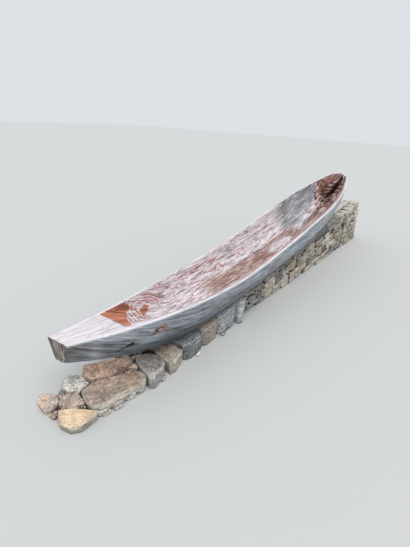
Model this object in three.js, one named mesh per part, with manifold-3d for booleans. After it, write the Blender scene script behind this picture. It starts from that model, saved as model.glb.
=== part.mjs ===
// A weathered dugout canoe lying on a low dry-stone wall, in millimetres.
// The pieces are laid out level: x runs along the wall from its low end, y to the back face,
// z is 0 at the bed that carries the hull. The ground falls away along x, and the last step
// tilts everything so that the ground is flat and horizontal.
import * as THREE from 'three';
import { mergeVertices } from 'three/addons/utils/BufferGeometryUtils.js';
import Module from 'manifold-3d';

const wasm = await Module();
wasm.setup();

// ground and wall
const wallLength = 4900;
const wallFront = -110;
const wallBack = 225;
const groundAtStart = -52;
const groundFall = 0.098;
const seat = 0.3;
const joint = 7;

// courses of the wall
const capThickness = 85;
const courseHeight = 108;
const frontDepth = 125;
const backDepth = 110;
const coreStart = 755;
const coreEnd = wallLength - 130;
const coreTop = -capThickness - seat;
const bedThickness = 15;
const leastStone = 36;
const boulderEnd = 1626;

// canoe
const canoeStart = 92;
const canoeLength = 4080;
const blockLength = 365;
const rotStart = 3560;
const rotTop = 3800;
const rimWidth = 26;
const floorThickness = 42;
const sheerLow = 254;
const sheerLowAt = 1550;
const nearRise = 163;
const farRise = 221;
const flatFrom = 980;
const flatTo = 2480;
const nearKeel = 303;
const farKeel = 335;
const nearHalf = 65;
const farHalf = 95;
const midHalf = 247;
const widening = 0.0147;
const hullSides = 16;
const troughSteps = 20;

const groundAt = (x) => groundAtStart - groundFall * x;
const clamp01 = (t) => Math.min(1, Math.max(0, t));
const { lerp } = THREE.MathUtils;

// a repeatable number between -1 and 1
function vary(seed) {
  const s = Math.sin(seed * 12.9898 + 4.1) * 43758.5453;
  return 2 * (s - Math.floor(s)) - 1;
}

// The hull's lines are functions of the distance x from the near transom.

// half width at the rim: a slow widening, drawn in by a rounded taper at each end
function halfWidth(x) {
  const body = midHalf + widening * (x - 1320);
  const near = clamp01((1500 - x) / 1500) ** 1.9;
  const far = clamp01((x - 2950) / (canoeLength - 2950)) ** 2;
  return body - (body - nearHalf) * near - (body - farHalf) * far;
}

// height of the rim: a hollow curve, straight over the flat block at the near end
function rimHeight(x) {
  const curve = (d) => (d < sheerLowAt
    ? sheerLow + nearRise * ((sheerLowAt - d) / sheerLowAt) ** 2.15
    : sheerLow + farRise * ((d - sheerLowAt) / (canoeLength - sheerLowAt)) ** 1.5);
  if (x >= blockLength) return curve(x);
  return lerp(curve(0), curve(blockLength), x / blockLength);
}

// height of the underside: flat where it lies on the wall, rising to both ends
function keelHeight(x) {
  const near = clamp01((flatFrom - x) / flatFrom) ** 1.7;
  const far = clamp01((x - flatTo) / (canoeLength - flatTo)) ** 1.8;
  return nearKeel * near + farKeel * far;
}

// share of the full depth that the trough has: none in the near block, then a step and a long
// ramp, and at the far end the face and the sunken top of the rotted block
function troughShare(x) {
  if (x <= blockLength) return 0;
  const ramp = 0.3 + 0.7 * clamp01((x - blockLength) / 640) ** 0.8;
  const rot = lerp(1, 0.2, clamp01((x - rotStart) / (rotTop - rotStart)));
  return Math.min(ramp, rot);
}

// one cross-section as a closed loop: outside from the near rim under the keel to the far rim,
// then inside back again. Both are rounded boxes |y/b|^n + |z/d|^n = 1 with a flattened bottom
// that is narrower than the rim.
function section(x, share) {
  const b = halfWidth(x);
  const rim = rimHeight(x);
  const depth = rim - keelHeight(x);
  const nearEnd = clamp01((900 - x) / 900);
  const farEnd = clamp01((x - 3000) / 900);
  const squareness = 2.5 + 2.2 * nearEnd ** 2 - 0.5 * farEnd;
  const tuck = 0.05 + 0.3 * nearEnd ** 2;
  const point = (angle, halfWide, deep, flat) => {
    const c = Math.cos(angle);
    const s = Math.sin(angle);
    const fall = Math.min(1, flat * Math.abs(s) ** (2 / squareness));
    const y = -halfWide * Math.sign(c) * Math.abs(c) ** (2 / squareness) * (1 - tuck * fall);
    return new THREE.Vector3(x, y, rim - deep * fall);
  };
  const outside = [];
  const inside = [];
  const inner = Math.max(0, depth - floorThickness) * share;
  for (let i = 0; i <= hullSides; i += 1) {
    const angle = (Math.PI * i) / hullSides;
    outside.push(point(angle, b, depth, 1.04));
    inside.push(point(angle, b - rimWidth, inner, 1.03));
  }
  return { outside, inside };
}

// a closed mesh from triangles given as three points each
function solidFrom(triangles) {
  const geometry = new THREE.BufferGeometry();
  const flatList = triangles.flat().flatMap((p) => [p.x, p.y, p.z]);
  geometry.setAttribute('position', new THREE.Float32BufferAttribute(flatList, 3));
  geometry.computeVertexNormals();
  return geometry;
}

const quad = (a, b, c, d) => [[a, b, c], [a, c, d]];

function toManifold(geometry) {
  const bare = geometry.clone();
  bare.deleteAttribute('normal');
  bare.deleteAttribute('uv');
  const merged = mergeVertices(bare, 1e-3);
  return new wasm.Manifold(new wasm.Mesh({
    numProp: 3,
    vertProperties: new Float32Array(merged.attributes.position.array),
    triVerts: new Uint32Array(merged.index.array),
  }));
}

function fromManifold(solid) {
  const mesh = solid.getMesh();
  const indexed = new THREE.BufferGeometry();
  indexed.setAttribute('position', new THREE.BufferAttribute(mesh.vertProperties, 3));
  indexed.setIndex(new THREE.BufferAttribute(mesh.triVerts, 1));
  const geometry = indexed.toNonIndexed();
  geometry.computeVertexNormals();
  return geometry;
}

// the hull before the rot: a skin through all the cross-sections, closed at both ends
function soundHull() {
  const places = [];
  for (let i = 0; i < 3; i += 1) places.push([(blockLength * i) / 3, 0]);
  places.push([blockLength, 0]);
  const troughFrom = blockLength + 14;
  for (let i = 0; i <= troughSteps; i += 1) {
    const x = lerp(troughFrom, canoeLength, i / troughSteps);
    places.push([x, troughShare(x)]);
  }
  const rings = places.map(([x, share]) => section(x, share));
  const triangles = [];
  for (let k = 0; k + 1 < rings.length; k += 1) {
    const p = rings[k];
    const q = rings[k + 1];
    for (let i = 0; i < hullSides; i += 1) {
      triangles.push(...quad(p.outside[i], p.outside[i + 1], q.outside[i + 1], q.outside[i]));
      triangles.push(...quad(p.inside[i], q.inside[i], q.inside[i + 1], p.inside[i + 1]));
    }
    triangles.push(...quad(p.outside[0], q.outside[0], q.inside[0], p.inside[0]));
    triangles.push(...quad(p.outside[hullSides], p.inside[hullSides], q.inside[hullSides],
      q.outside[hullSides]));
  }
  const first = rings[0];
  const last = rings[rings.length - 1];
  for (let i = 0; i < hullSides; i += 1) {
    triangles.push(...quad(first.outside[i], first.inside[i], first.inside[i + 1],
      first.outside[i + 1]));
    triangles.push(...quad(last.outside[i], last.outside[i + 1], last.inside[i + 1],
      last.inside[i]));
  }
  return solidFrom(triangles);
}

// Stones.

const inPlan = (u, v, w) => new THREE.Vector3(u, v, w);
const onFront = (u, v, w) => new THREE.Vector3(u, -w, v);
const onBack = (u, v, w) => new THREE.Vector3(-u, w, v);
const outlineOf = (corners) => corners.map(([u, v]) => new THREE.Vector2(u, v));

// a stone: its outline drawn in towards its middle at each layer, from the lowest to the highest.
// place turns outline and layer coordinates into a point in space.
function stoneGeometry(outline, layers, place) {
  const middle = outline.reduce((sum, p) => sum.add(p), new THREE.Vector2())
    .divideScalar(outline.length);
  const rings = layers.map(({ height, inset }) => outline.map((p) => {
    const shrink = 1 - inset / Math.max(inset + 1, p.distanceTo(middle));
    const u = middle.x + (p.x - middle.x) * shrink;
    const v = middle.y + (p.y - middle.y) * shrink;
    return place(u, v, typeof height === 'function' ? height(u, v) : height);
  }));
  const count = outline.length;
  const triangles = [];
  for (let k = 0; k + 1 < rings.length; k += 1) {
    for (let i = 0; i < count; i += 1) {
      const j = (i + 1) % count;
      triangles.push(...quad(rings[k][i], rings[k][j], rings[k + 1][j], rings[k + 1][i]));
    }
  }
  const low = rings[0];
  const high = rings[rings.length - 1];
  for (let i = 1; i + 1 < count; i += 1) {
    triangles.push([low[0], low[i + 1], low[i]]);
    triangles.push([high[0], high[i], high[i + 1]]);
  }
  return solidFrom(triangles);
}

// a four-sided cell with some of its corners knocked off, each by a different amount
function choppedCell(corners, seed, chop, share = 1) {
  const outline = [];
  corners.forEach((corner, i) => {
    if (Math.abs(vary(seed + i + 3)) > share) {
      outline.push(corner);
      return;
    }
    const before = corners[(i + 3) % 4];
    const after = corners[(i + 1) % 4];
    const back = Math.min(chop * (1 + 0.5 * vary(seed + i)), 0.35 * corner.distanceTo(before));
    const on = Math.min(chop * (1 + 0.5 * vary(seed + i + 7)), 0.35 * corner.distanceTo(after));
    outline.push(corner.clone().add(before.clone().sub(corner).setLength(back)));
    outline.push(corner.clone().add(after.clone().sub(corner).setLength(on)));
  });
  return outline;
}

// splits a length into stones of about the wanted length, none alike
function splitRun(from, to, wanted, seed) {
  const count = Math.max(1, Math.round((to - from) / wanted));
  const step = (to - from) / count;
  const cuts = [from];
  for (let i = 1; i < count; i += 1) cuts.push(from + step * (i + 0.28 * vary(seed + i)));
  cuts.push(to);
  return cuts;
}

const stoneColours = {
  cream: 0xdcc8a0, tan: 0xb29a7c, rose: 0xb98a70, grey: 0x8a8883, pale: 0xcfcdc6, mixed: 0xa39a8b,
};

const stoneMaterial = (kind) => new THREE.MeshStandardMaterial({
  color: stoneColours[kind], roughness: 0.95, metalness: 0,
});

const assembly = new THREE.Group();

function addPiece(name, geometry, material) {
  const mesh = new THREE.Mesh(geometry, material);
  mesh.name = name;
  assembly.add(mesh);
  return mesh;
}

// The hull, with what rot has taken from its far end.

// a long split through the rotted block, beside its middle
const splitWidth = 24;
const splitFrom = 3440;
const splitSide = outlineOf([
  [splitFrom, keelHeight(splitFrom) + floorThickness + 12],
  [canoeLength + 20, keelHeight(canoeLength) + floorThickness + 6],
  [canoeLength + 20, rimHeight(canoeLength) + 40],
  [splitFrom, rimHeight(splitFrom)],
]);
const split = stoneGeometry(splitSide, [
  { height: 26, inset: 0 },
  { height: 26 + splitWidth, inset: 0 },
], onFront);

// hollows in the rotted block. Columns: along, across, half length, half width, half depth
const hollows = [
  [3830, 62, 78, 34, 46],
  [3965, 24, 70, 30, 34],
  [3900, -92, 90, 22, 38],
  [4085, 6, 34, 52, 30],
];
const rottenHull = hollows.reduce((solid, [along, across, long, wide, deep]) => {
  const hollow = new THREE.IcosahedronGeometry(1, 1);
  hollow.scale(long, wide, deep);
  hollow.translate(along, across, rimHeight(along) - 14);
  return solid.subtract(toManifold(hollow));
}, toManifold(soundHull()).subtract(toManifold(split)));

const hull = addPiece('hull', fromManifold(rottenHull), new THREE.MeshStandardMaterial({
  color: 0x9a9490, roughness: 0.9, metalness: 0,
}));
hull.position.x = canoeStart;

// Slabs at the low end and boulders under the near half of the hull.
// Columns: name, kind, height of the top, height of the bed above the ground, corners [x, y]
const groundStones = [
  ['slab_far_left', 'rose', -22, bedThickness,
    [[28, 126], [62, 104], [112, 112], [134, 152], [128, 214], [92, 238], [52, 208]]],
  ['slab_lichen', 'pale', -16, bedThickness,
    [[196, 134], [252, 100], [298, 96], [314, 150], [308, 212], [272, 240], [214, 216], [186, 184]]],
  ['slab_small_rose', 'rose', -24, bedThickness,
    [[104, 96], [120, 36], [176, 2], [196, 26], [214, 84], [180, 126], [146, 144]]],
  ['slab_cream', 'cream', -16, bedThickness,
    [[12, -28], [20, -92], [56, -122], [160, -124], [176, -108], [112, 14], [66, 56], [36, 18]]],
  ['slab_long_tan', 'tan', -10, bedThickness,
    [[180, -76], [206, -112], [326, -134], [484, -160], [530, -128], [534, -74], [402, 28],
      [318, 74], [232, 72], [190, -4]]],
  ['slab_long_rose', 'rose', -8, bedThickness,
    [[320, 86], [404, 36], [548, 8], [590, 44], [502, 130], [396, 222], [336, 164], [316, 112]]],
  ['slab_wedge', 'rose', -20, bedThickness, [[520, 0], [548, -40], [566, -12], [560, 0]]],
  ['boulder_rounded', 'grey', -4, bedThickness,
    [[560, -60], [520, -158], [546, -180], [642, -158], [702, -128], [722, -74], [700, 0],
      [636, 44], [590, 10]]],
  ['boulder_tan', 'tan', -34, 0,
    [[702, -166], [748, -170], [868, -132], [876, -20], [858, 14.7], [762, 14.7]]],
  ['boulder_grey', 'grey', -12, 0,
    [[884, -140], [936, -158], [1060, -150], [1092, -128], [1094, 0], [1040, 14.7], [884, 14.7]]],
  ['boulder_olive', 'tan', -14, 0,
    [[1102, -130], [1150, -146], [1262, -142], [1296, -120], [1298, 4], [1250, 14.7], [1102, 14.7]]],
  ['boulder_cream', 'cream', -10, 0,
    [[1306, -128], [1360, -148], [1500, -144], [1540, -124], [1540, 6], [1490, 14.7], [1306, 14.7]]],
  ['upright_pale', 'pale', -6, 0,
    [[1549, -156], [1578, -176], [1612, -168], [1620, -60], [1610, 14.7], [1549, 14.7]]],
];
for (const [name, kind, top, bed, corners] of groundStones) {
  const underside = (x) => groundAt(x) + (bed > 0 ? bed + seat : 0);
  addPiece(name, stoneGeometry(outlineOf(corners), [
    { height: underside, inset: 0 },
    { height: (x) => lerp(underside(x), top, 0.68), inset: 0 },
    { height: top, inset: 12 },
  ], inPlan), stoneMaterial(kind));
}

// the gravel bed under the slabs
const bedEnd = coreStart - seat;
const bedOutline = outlineOf([[50, -96], [656, -96], [656, 12], [bedEnd, 12], [bedEnd, 190],
  [50, 190]]);
addPiece('slab_bed', stoneGeometry(bedOutline, [
  { height: groundAt, inset: 0 },
  { height: (x) => groundAt(x) + bedThickness, inset: 0 },
], inPlan), stoneMaterial('mixed'));

// the packed core between the faces, from the ground to the underside of the cap stones
const coreSide = outlineOf([[coreStart, groundAt(coreStart)], [coreEnd, groundAt(coreEnd)],
  [coreEnd, coreTop], [coreStart, coreTop]]);
addPiece('hearting', stoneGeometry(coreSide, [
  { height: -(wallBack - backDepth) + seat, inset: 0 },
  { height: -(wallFront + frontDepth) - seat, inset: 0 },
], onFront), stoneMaterial('mixed'));

// cap stones, across the whole wall, or behind the boulders where those reach up to the hull
const kindCycle = ['tan', 'grey', 'cream', 'grey', 'rose', 'tan', 'grey', 'pale'];
const kindFor = (seed) => kindCycle[Math.floor(Math.abs(vary(seed)) * 0.999 * kindCycle.length)];
const capCuts = [...splitRun(coreStart, boulderEnd, 430, 3),
  ...splitRun(boulderEnd, wallLength, 380, 8).slice(1)];
for (let i = 0; i + 1 < capCuts.length; i += 1) {
  const left = capCuts[i] + joint / 2;
  const right = capCuts[i + 1] - joint / 2;
  const front = right < boulderEnd ? 14 : wallFront - 6 + 8 * vary(i + 20);
  const back = wallBack + 6 + 8 * vary(i + 40);
  const cell = outlineOf([[left, front], [right, front + 4], [right, back], [left, back - 4]]);
  addPiece(`cap_${i + 1}`, stoneGeometry(choppedCell(cell, i * 11 + 1, 30), [
    { height: -capThickness, inset: 6 },
    { height: -24, inset: 0 },
    { height: -seat, inset: 12 },
  ], inPlan), stoneMaterial(kindFor(i + 5)));
}

// the cells that the stones of one course fill, between two heights. A tall cell is often cut
// again into a lower and an upper stone. Each cell is a list of corners [x, z].
function courseCells(cuts, first, last, bottomAt, top, seed) {
  const cells = [];
  for (let i = first; i < last; i += 1) {
    const left = cuts[i] + joint / 2;
    const right = cuts[i + 1] - joint / 2;
    const lowLeft = bottomAt(left);
    const lowRight = bottomAt(right);
    const share = 0.5 + 0.14 * vary(seed + i * 5);
    const slant = 8 * vary(seed + i * 5 + 1);
    const midLeft = lerp(lowLeft, top, share) + slant;
    const midRight = lerp(lowRight, top, share) - slant;
    if (top - lowLeft > 84 && vary(seed + i * 5 + 2) > -0.4) {
      cells.push([[left, lowLeft], [right, lowRight], [right, midRight - 3], [left, midLeft - 3]]);
      cells.push([[left, midLeft + 3], [right, midRight + 3], [right, top], [left, top]]);
    } else {
      cells.push([[left, lowLeft], [right, lowRight], [right, top], [left, top]]);
    }
  }
  return cells;
}

// Face stones, in level courses cut off by the ground. A few neighbours and the packing that
// carries them are one piece. Columns: name, where each course starts, wanted stone length,
// stones in a run, depth into the wall, distance of the face from y = 0, placing, direction
const faces = [
  ['front', [boulderEnd, 1780, 2860, 3960], 160, 6, frontDepth, -wallFront, onFront, 1],
  ['back', [coreStart + 20, 1800, 2900, 4000], 290, 4, backDepth, wallBack, onBack, -1],
];
for (const [name, starts, wanted, inRun, depth, side, place, direction] of faces) {
  starts.forEach((start, course) => {
    const top = coreTop - course * courseHeight;
    const floorOfCourse = course === starts.length - 1 ? -Infinity : top - courseHeight + seat;
    const bottomAt = (x) => Math.max(floorOfCourse, groundAt(x));
    const seed = course * 131 + side;
    const cuts = splitRun(start, wallLength, wanted, seed);
    const tall = cuts.findIndex((x) => top - bottomAt(x) >= leastStone);
    const runs = Math.max(1, Math.round((cuts.length - 1 - tall) / inRun));
    for (let run = 0; run < runs; run += 1) {
      const first = tall + Math.round(((cuts.length - 1 - tall) * run) / runs);
      const last = tall + Math.round(((cuts.length - 1 - tall) * (run + 1)) / runs);
      const along = (corners) => {
        const outline = corners.map(([x, z]) => new THREE.Vector2(direction * x, z));
        return direction > 0 ? outline : outline.reverse();
      };
      const left = cuts[first] + joint;
      const right = cuts[last] - joint;
      const packing = along([[left, bottomAt(left) + 4], [right, bottomAt(right) + 4],
        [right, top - 4], [left, top - 4]]);
      let solid = toManifold(stoneGeometry(packing, [
        { height: side - depth, inset: 0 },
        { height: side - 26, inset: 0 },
      ], place));
      courseCells(cuts, first, last, bottomAt, top, seed).forEach((corners, k) => {
        const outline = choppedCell(along(corners), seed + first * 9 + k * 3, 18, 0.5);
        const bulge = 4 + 9 * vary(seed + first + k * 2);
        solid = solid.add(toManifold(stoneGeometry(outline, [
          { height: side - 60, inset: 0 },
          { height: side + bulge, inset: 11 },
        ], place)));
      });
      addPiece(`${name}_course_${course + 1}_run_${run + 1}`, fromManifold(solid),
        stoneMaterial('mixed'));
    }
  });
}

// the tall end, closed by two stones between the faces
const endStones = 2;
const endBottom = groundAt(wallLength);
for (let i = 0; i < endStones; i += 1) {
  const top = lerp(coreTop, endBottom, i / endStones);
  const isLast = i === endStones - 1;
  const bottom = lerp(coreTop, endBottom, (i + 1) / endStones) + seat;
  const front = wallFront + frontDepth + seat;
  const back = wallBack - backDepth - seat;
  const outline = choppedCell(outlineOf([[coreEnd + seat, front], [wallLength, front],
    [wallLength, back], [coreEnd + seat, back]]), i + 3, 12);
  addPiece(`end_stone_${i + 1}`, stoneGeometry(outline, [
    { height: isLast ? groundAt : bottom, inset: 0 },
    { height: top, inset: 4 },
  ], inPlan), stoneMaterial(kindFor(i + 9)));
}

// tilt so that the ground is level, then stand the part on it with its middle over the origin
assembly.rotation.y = -Math.atan(groundFall);
const whole = new THREE.Group();
whole.add(assembly);
whole.updateMatrixWorld(true);
const box = new THREE.Box3().setFromObject(whole, true);
assembly.position.set(-(box.min.x + box.max.x) / 2, -(box.min.y + box.max.y) / 2, -box.min.z);

export default whole;
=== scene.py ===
# A weathered dugout canoe lying on its low dry-stone wall.
from functools import partial

import bpy
import numpy as np
from mathutils import Matrix


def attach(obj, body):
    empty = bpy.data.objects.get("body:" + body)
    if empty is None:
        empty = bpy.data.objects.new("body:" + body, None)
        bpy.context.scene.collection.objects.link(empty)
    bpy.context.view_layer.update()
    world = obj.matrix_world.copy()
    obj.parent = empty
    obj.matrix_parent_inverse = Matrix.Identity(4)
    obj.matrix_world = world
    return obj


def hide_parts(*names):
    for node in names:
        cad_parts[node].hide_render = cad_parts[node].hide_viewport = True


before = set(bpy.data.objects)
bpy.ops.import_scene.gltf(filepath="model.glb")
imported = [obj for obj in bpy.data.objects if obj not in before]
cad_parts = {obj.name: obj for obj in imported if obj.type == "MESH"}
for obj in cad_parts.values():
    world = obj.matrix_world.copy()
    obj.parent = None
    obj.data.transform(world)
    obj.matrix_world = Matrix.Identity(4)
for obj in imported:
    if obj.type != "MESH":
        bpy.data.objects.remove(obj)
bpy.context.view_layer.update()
print("frame loaded")

# The level frame is in millimetres: x along the wall from its low end, y towards its back face,
# z up from the bed under the hull. The ground falls away along x.
level = {"groundFall": 0.098, "groundAtStart": -52, "shift": (-2471.451, 0.0, 51.752)}


def toRow(points):
    # turned about y by the slope of the ground, so that the ground is flat, then moved, in metres
    turn = np.arctan(level["groundFall"])
    x, y, z = points[..., 0], points[..., 1], points[..., 2]
    turned = np.stack([x * np.cos(turn) - z * np.sin(turn), y,
                       x * np.sin(turn) + z * np.cos(turn)], axis=-1)
    return (turned + np.array(level["shift"])) / 1000


def groundAt(x):
    # height of the ground: a straight slope down along the wall
    return level["groundAtStart"] - level["groundFall"] * x


def clamp01(t):
    # held between 0 and 1
    return np.clip(t, 0, 1)


def smooth(low, high, t):
    # 0 at low, 1 at high, and 3s^2 - 2s^3 in between
    s = clamp01((t - low) / (high - low))
    return s * s * (3 - 2 * s)


def bell(x, middle, width):
    # 1 at the middle, falling off as exp(-(x / width)^2)
    return np.exp(-((x - middle) / width) ** 2)


def vary(seed):
    # the same repeatable number between -1 and 1 as in the part's source
    s = np.sin(seed * 12.9898 + 4.1) * 43758.5453
    return 2 * (s - np.floor(s)) - 1


def latticeValue(cell, seed):
    # one repeatable number from 0 to 1 for each whole-number corner
    h = cell[..., 0] * 73856093 ^ cell[..., 1] * 19349663 ^ cell[..., 2] * 83492791
    h = (h ^ (seed * 40503 + 977)) & 0x7FFFFFFF
    h = ((h ^ (h >> 13)) * 1274126177) & 0x7FFFFFFF
    h = ((h ^ (h >> 15)) * 668265263) & 0x7FFFFFFF
    return ((h ^ (h >> 16)) & 0xFFFFF) / 0xFFFFF


def valueNoise(points, seed):
    # the eight lattice values round each point, blended by 3t^2 - 2t^3, from -1 to 1
    cell = np.floor(points).astype(np.int64)
    t = points - cell
    t = t * t * (3 - 2 * t)
    total = 0
    for corner in np.ndindex(2, 2, 2):
        weight = np.prod(np.where(corner, t, 1 - t), axis=-1)
        total = total + weight * latticeValue(cell + corner, seed)
    return 2 * total - 1


def layeredNoise(points, scale, seed, octaves=3):
    # octaves of valueNoise, each twice as fine and half as strong; scale is the coarsest, in mm
    p = points / np.asarray(scale, float)
    total, strength, whole = 0, 1, 0
    for k in range(octaves):
        total = total + strength * valueNoise(p * 2 ** k + 17.3 * k, seed + k)
        whole += strength
        strength /= 2
    return total / whole


def vertexNormals(points, quads):
    # the cross product of each quad's diagonals, summed at its corners and brought to length 1
    across = np.cross(points[quads[:, 2]] - points[quads[:, 0]],
                      points[quads[:, 3]] - points[quads[:, 1]])
    total = np.stack([sum(np.bincount(quads[:, k], across[:, axis], len(points))
                          for k in range(4)) for axis in range(3)], axis=-1)
    return total / np.maximum(np.linalg.norm(total, axis=1, keepdims=True), 1e-12)


def buildMesh(name, points, quads, triangles, fields, uv=None):
    # points in the level frame; fields are point attributes, numbers or colours; uv is per corner
    mesh = bpy.data.meshes.new(name)
    mesh.vertices.add(len(points))
    mesh.vertices.foreach_set("co", toRow(points).ravel())
    corners = np.concatenate([quads.ravel(), triangles.ravel()]).astype(np.int32)
    starts = np.concatenate([np.arange(len(quads)) * 4,
                             quads.size + np.arange(len(triangles)) * 3]).astype(np.int32)
    mesh.loops.add(len(corners))
    mesh.loops.foreach_set("vertex_index", corners)
    mesh.polygons.add(len(starts))
    mesh.polygons.foreach_set("loop_start", starts)
    mesh.update(calc_edges=True)
    mesh.polygons.foreach_set("use_smooth", np.ones(len(starts), bool))
    for key, values in fields.items():
        isColour = values.ndim == 2
        attribute = mesh.attributes.new(key, "FLOAT_COLOR" if isColour else "FLOAT", "POINT")
        attribute.data.foreach_set("color" if isColour else "value",
                                   np.ascontiguousarray(values, np.float32).ravel())
    if uv is not None:
        mesh.uv_layers.new(name="grain").data.foreach_set("uv", uv.astype(np.float32).ravel())
    thing = bpy.data.objects.new(name, mesh)
    bpy.context.scene.collection.objects.link(thing)
    return thing


def srgb(code):
    # a hex colour as linear red, green, blue and 1
    parts = np.array([int(code[i:i + 2], 16) / 255 for i in (1, 3, 5)])
    linear = np.where(parts <= 0.04045, parts / 12.92, ((parts + 0.055) / 1.055) ** 2.4)
    return (*linear, 1)


# The nodes in use, by short names: Blender's type, its options, the sockets that the values fill
# in order, and the output that is used
rgba = {"data_type": "RGBA"}
noiseSockets = ("Vector", "Scale", "Detail", "Roughness", "Distortion")
mappingSockets = ("Vector", "Scale", "Location")
surfaceSockets = ("Base Color", "Roughness", "Specular IOR Level", "Normal")
nodeKinds = {
    "mix": ("Mix", rgba, (0, 6, 7), 2),
    "multiplyMix": ("Mix", {**rgba, "blend_type": "MULTIPLY"}, (0, 6, 7), 2),
    "scale": ("VectorMath", {"operation": "SCALE"}, (0, 3), 0),
    "length": ("VectorMath", {"operation": "LENGTH"}, (0,), 1),
    "dot": ("VectorMath", {"operation": "DOT_PRODUCT"}, (0, 1), 1),
    "range": ("MapRange", {}, range(5), 0),
    "smoothRange": ("MapRange", {"interpolation_type": "SMOOTHSTEP"}, range(5), 0),
    "ramp": ("ValToRGB", {}, (0,), 0), "noise": ("TexNoise", {}, noiseSockets, 0),
    "number": ("Attribute", {}, (), 2), "tone": ("Attribute", {}, (), 0),
    "place": ("TexCoord", {}, (), 3), "normal": ("NewGeometry", {}, (), 1),
    "grain": ("UVMap", {"uv_map": "grain"}, (), 0),
    "mapping": ("Mapping", {}, mappingSockets, 0),
    "unmapping": ("Mapping", {"vector_type": "TEXTURE"}, mappingSockets, 0),
    "bump": ("Bump", {}, ("Strength", "Distance", "Height"), 0),
    "surface": ("BsdfPrincipled", {}, surfaceSockets, 0), "output": ("OutputMaterial", {}, (0,), 0),
}
for operation in ("multiplyAdd", "multiply", "subtract", "add", "absolute", "maximum", "sine"):
    spelled = operation.replace("Add", "_add").upper()
    nodeKinds[operation] = ("Math", {"operation": spelled}, range(3), 0)
for axis, letter in enumerate("xyz"):
    nodeKinds[letter + "Of"] = ("SeparateXYZ", {}, (0,), axis)


def addNode(tree, kind, *values, stops=(), **options):
    # a node with its options, its ramp colours, and its sockets filled by values, hex colours or
    # links; gives the output in use
    nodeType, fixed, sockets, out = nodeKinds[kind]
    node = tree.nodes.new("ShaderNode" + nodeType)
    for i, (place, shade) in enumerate(stops):
        ramp = node.color_ramp.elements
        if i == 0:
            ramp.remove(ramp[-1])
        element = ramp.new(place) if i else ramp[0]
        element.position = place
        element.color = srgb(shade) if isinstance(shade, str) else (shade, shade, shade, 1)
    for key, value in {**fixed, **options}.items():
        setattr(node, key, value)
    for key, value in zip(sockets, values):
        if isinstance(value, bpy.types.NodeSocket):
            tree.links.new(value, node.inputs[key])
        else:
            node.inputs[key].default_value = srgb(value) if isinstance(value, str) else value
    return node.outputs[out] if len(node.outputs) else node


def newMaterial(name):
    # an empty material and what adds nodes to it
    material = bpy.data.materials.new(name)
    material.use_nodes = True
    material.node_tree.nodes.clear()
    return material, partial(addNode, material.node_tree)


def finishMaterial(material, add, colour, height, strength, distance, roughness, specular):
    # the colour on a surface that the height bumps, by a distance in metres
    bump = add("bump", strength, distance, height)
    add("output", add("surface", colour, roughness, specular, bump))
    return material


# The hull: the same lines as in the part's source, from the near transom.
hull = {
    "start": 92, "length": 4080, "block": 351, "rotStart": 3560, "rotTop": 3800,
    "rimWidth": 26, "floorThickness": 42, "sheerLow": 254, "sheerLowAt": 1550,
    "nearRise": 163, "farRise": 221, "flatFrom": 980, "flatTo": 2480,
    "nearKeel": 303, "farKeel": 335, "nearHalf": 65, "farHalf": 95, "midHalf": 247,
    "widening": 0.0147, "nearTaper": 1500, "farTaper": 2950, "meanAt": 1320, "stepRun": 14,
    "rampRun": 640, "sides": 60, "rimSteps": 6, "fineStep": 4.5, "coarseStep": 8.5,
    "fineTo": 640, "coarseTo": 3450, "farStations": 141,
    "notches": [(862, 1, 9, 13), (905, 1, 6, 6), (1159, 1, 12, 12), (1560, 1, 8, 5),
                (2210, 1, 10, 5), (2890, 1, 14, 6), (250, -1, 16, 4), (205, -1, 10, 4),
                (700, -1, 9, 4), (1730, -1, 12, 4), (3010, -1, 10, 5), (3500, -1, 14, 6)],
    "knot": (554, 238, 30, 22), "ringSpot": (744, 161),
    "splitAlong": [(3500, 14), (3590, 4), (3666, -14), (3711, -40), (3742, -54), (3787, -66),
                   (3846, -78), (3977, -68), (4080, -57)],
    # how light the outside is along the hull
    "gainAlong": [(0, 0.93), (100, 0.99), (172, 1.15), (270, 1.05), (480, 1.02), (700, 0.88),
                  (900, 0.88), (1200, 0.98), (1600, 1.18), (2200, 1.28), (3000, 1.32),
                  (3600, 1.32)],
    # how strongly painted shade darkens its foot along the hull, and where the rot begins across
    # the trough
    "footShadeAlong": [(0, 0.62), (70, 0.5), (150, 0.14), (210, 0.62), (620, 1)],
    "rotAcross": [(-200, 120), (-100, 40), (0, 0), (60, 30), (150, 140), (220, 190), (330, 240)],
}


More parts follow.
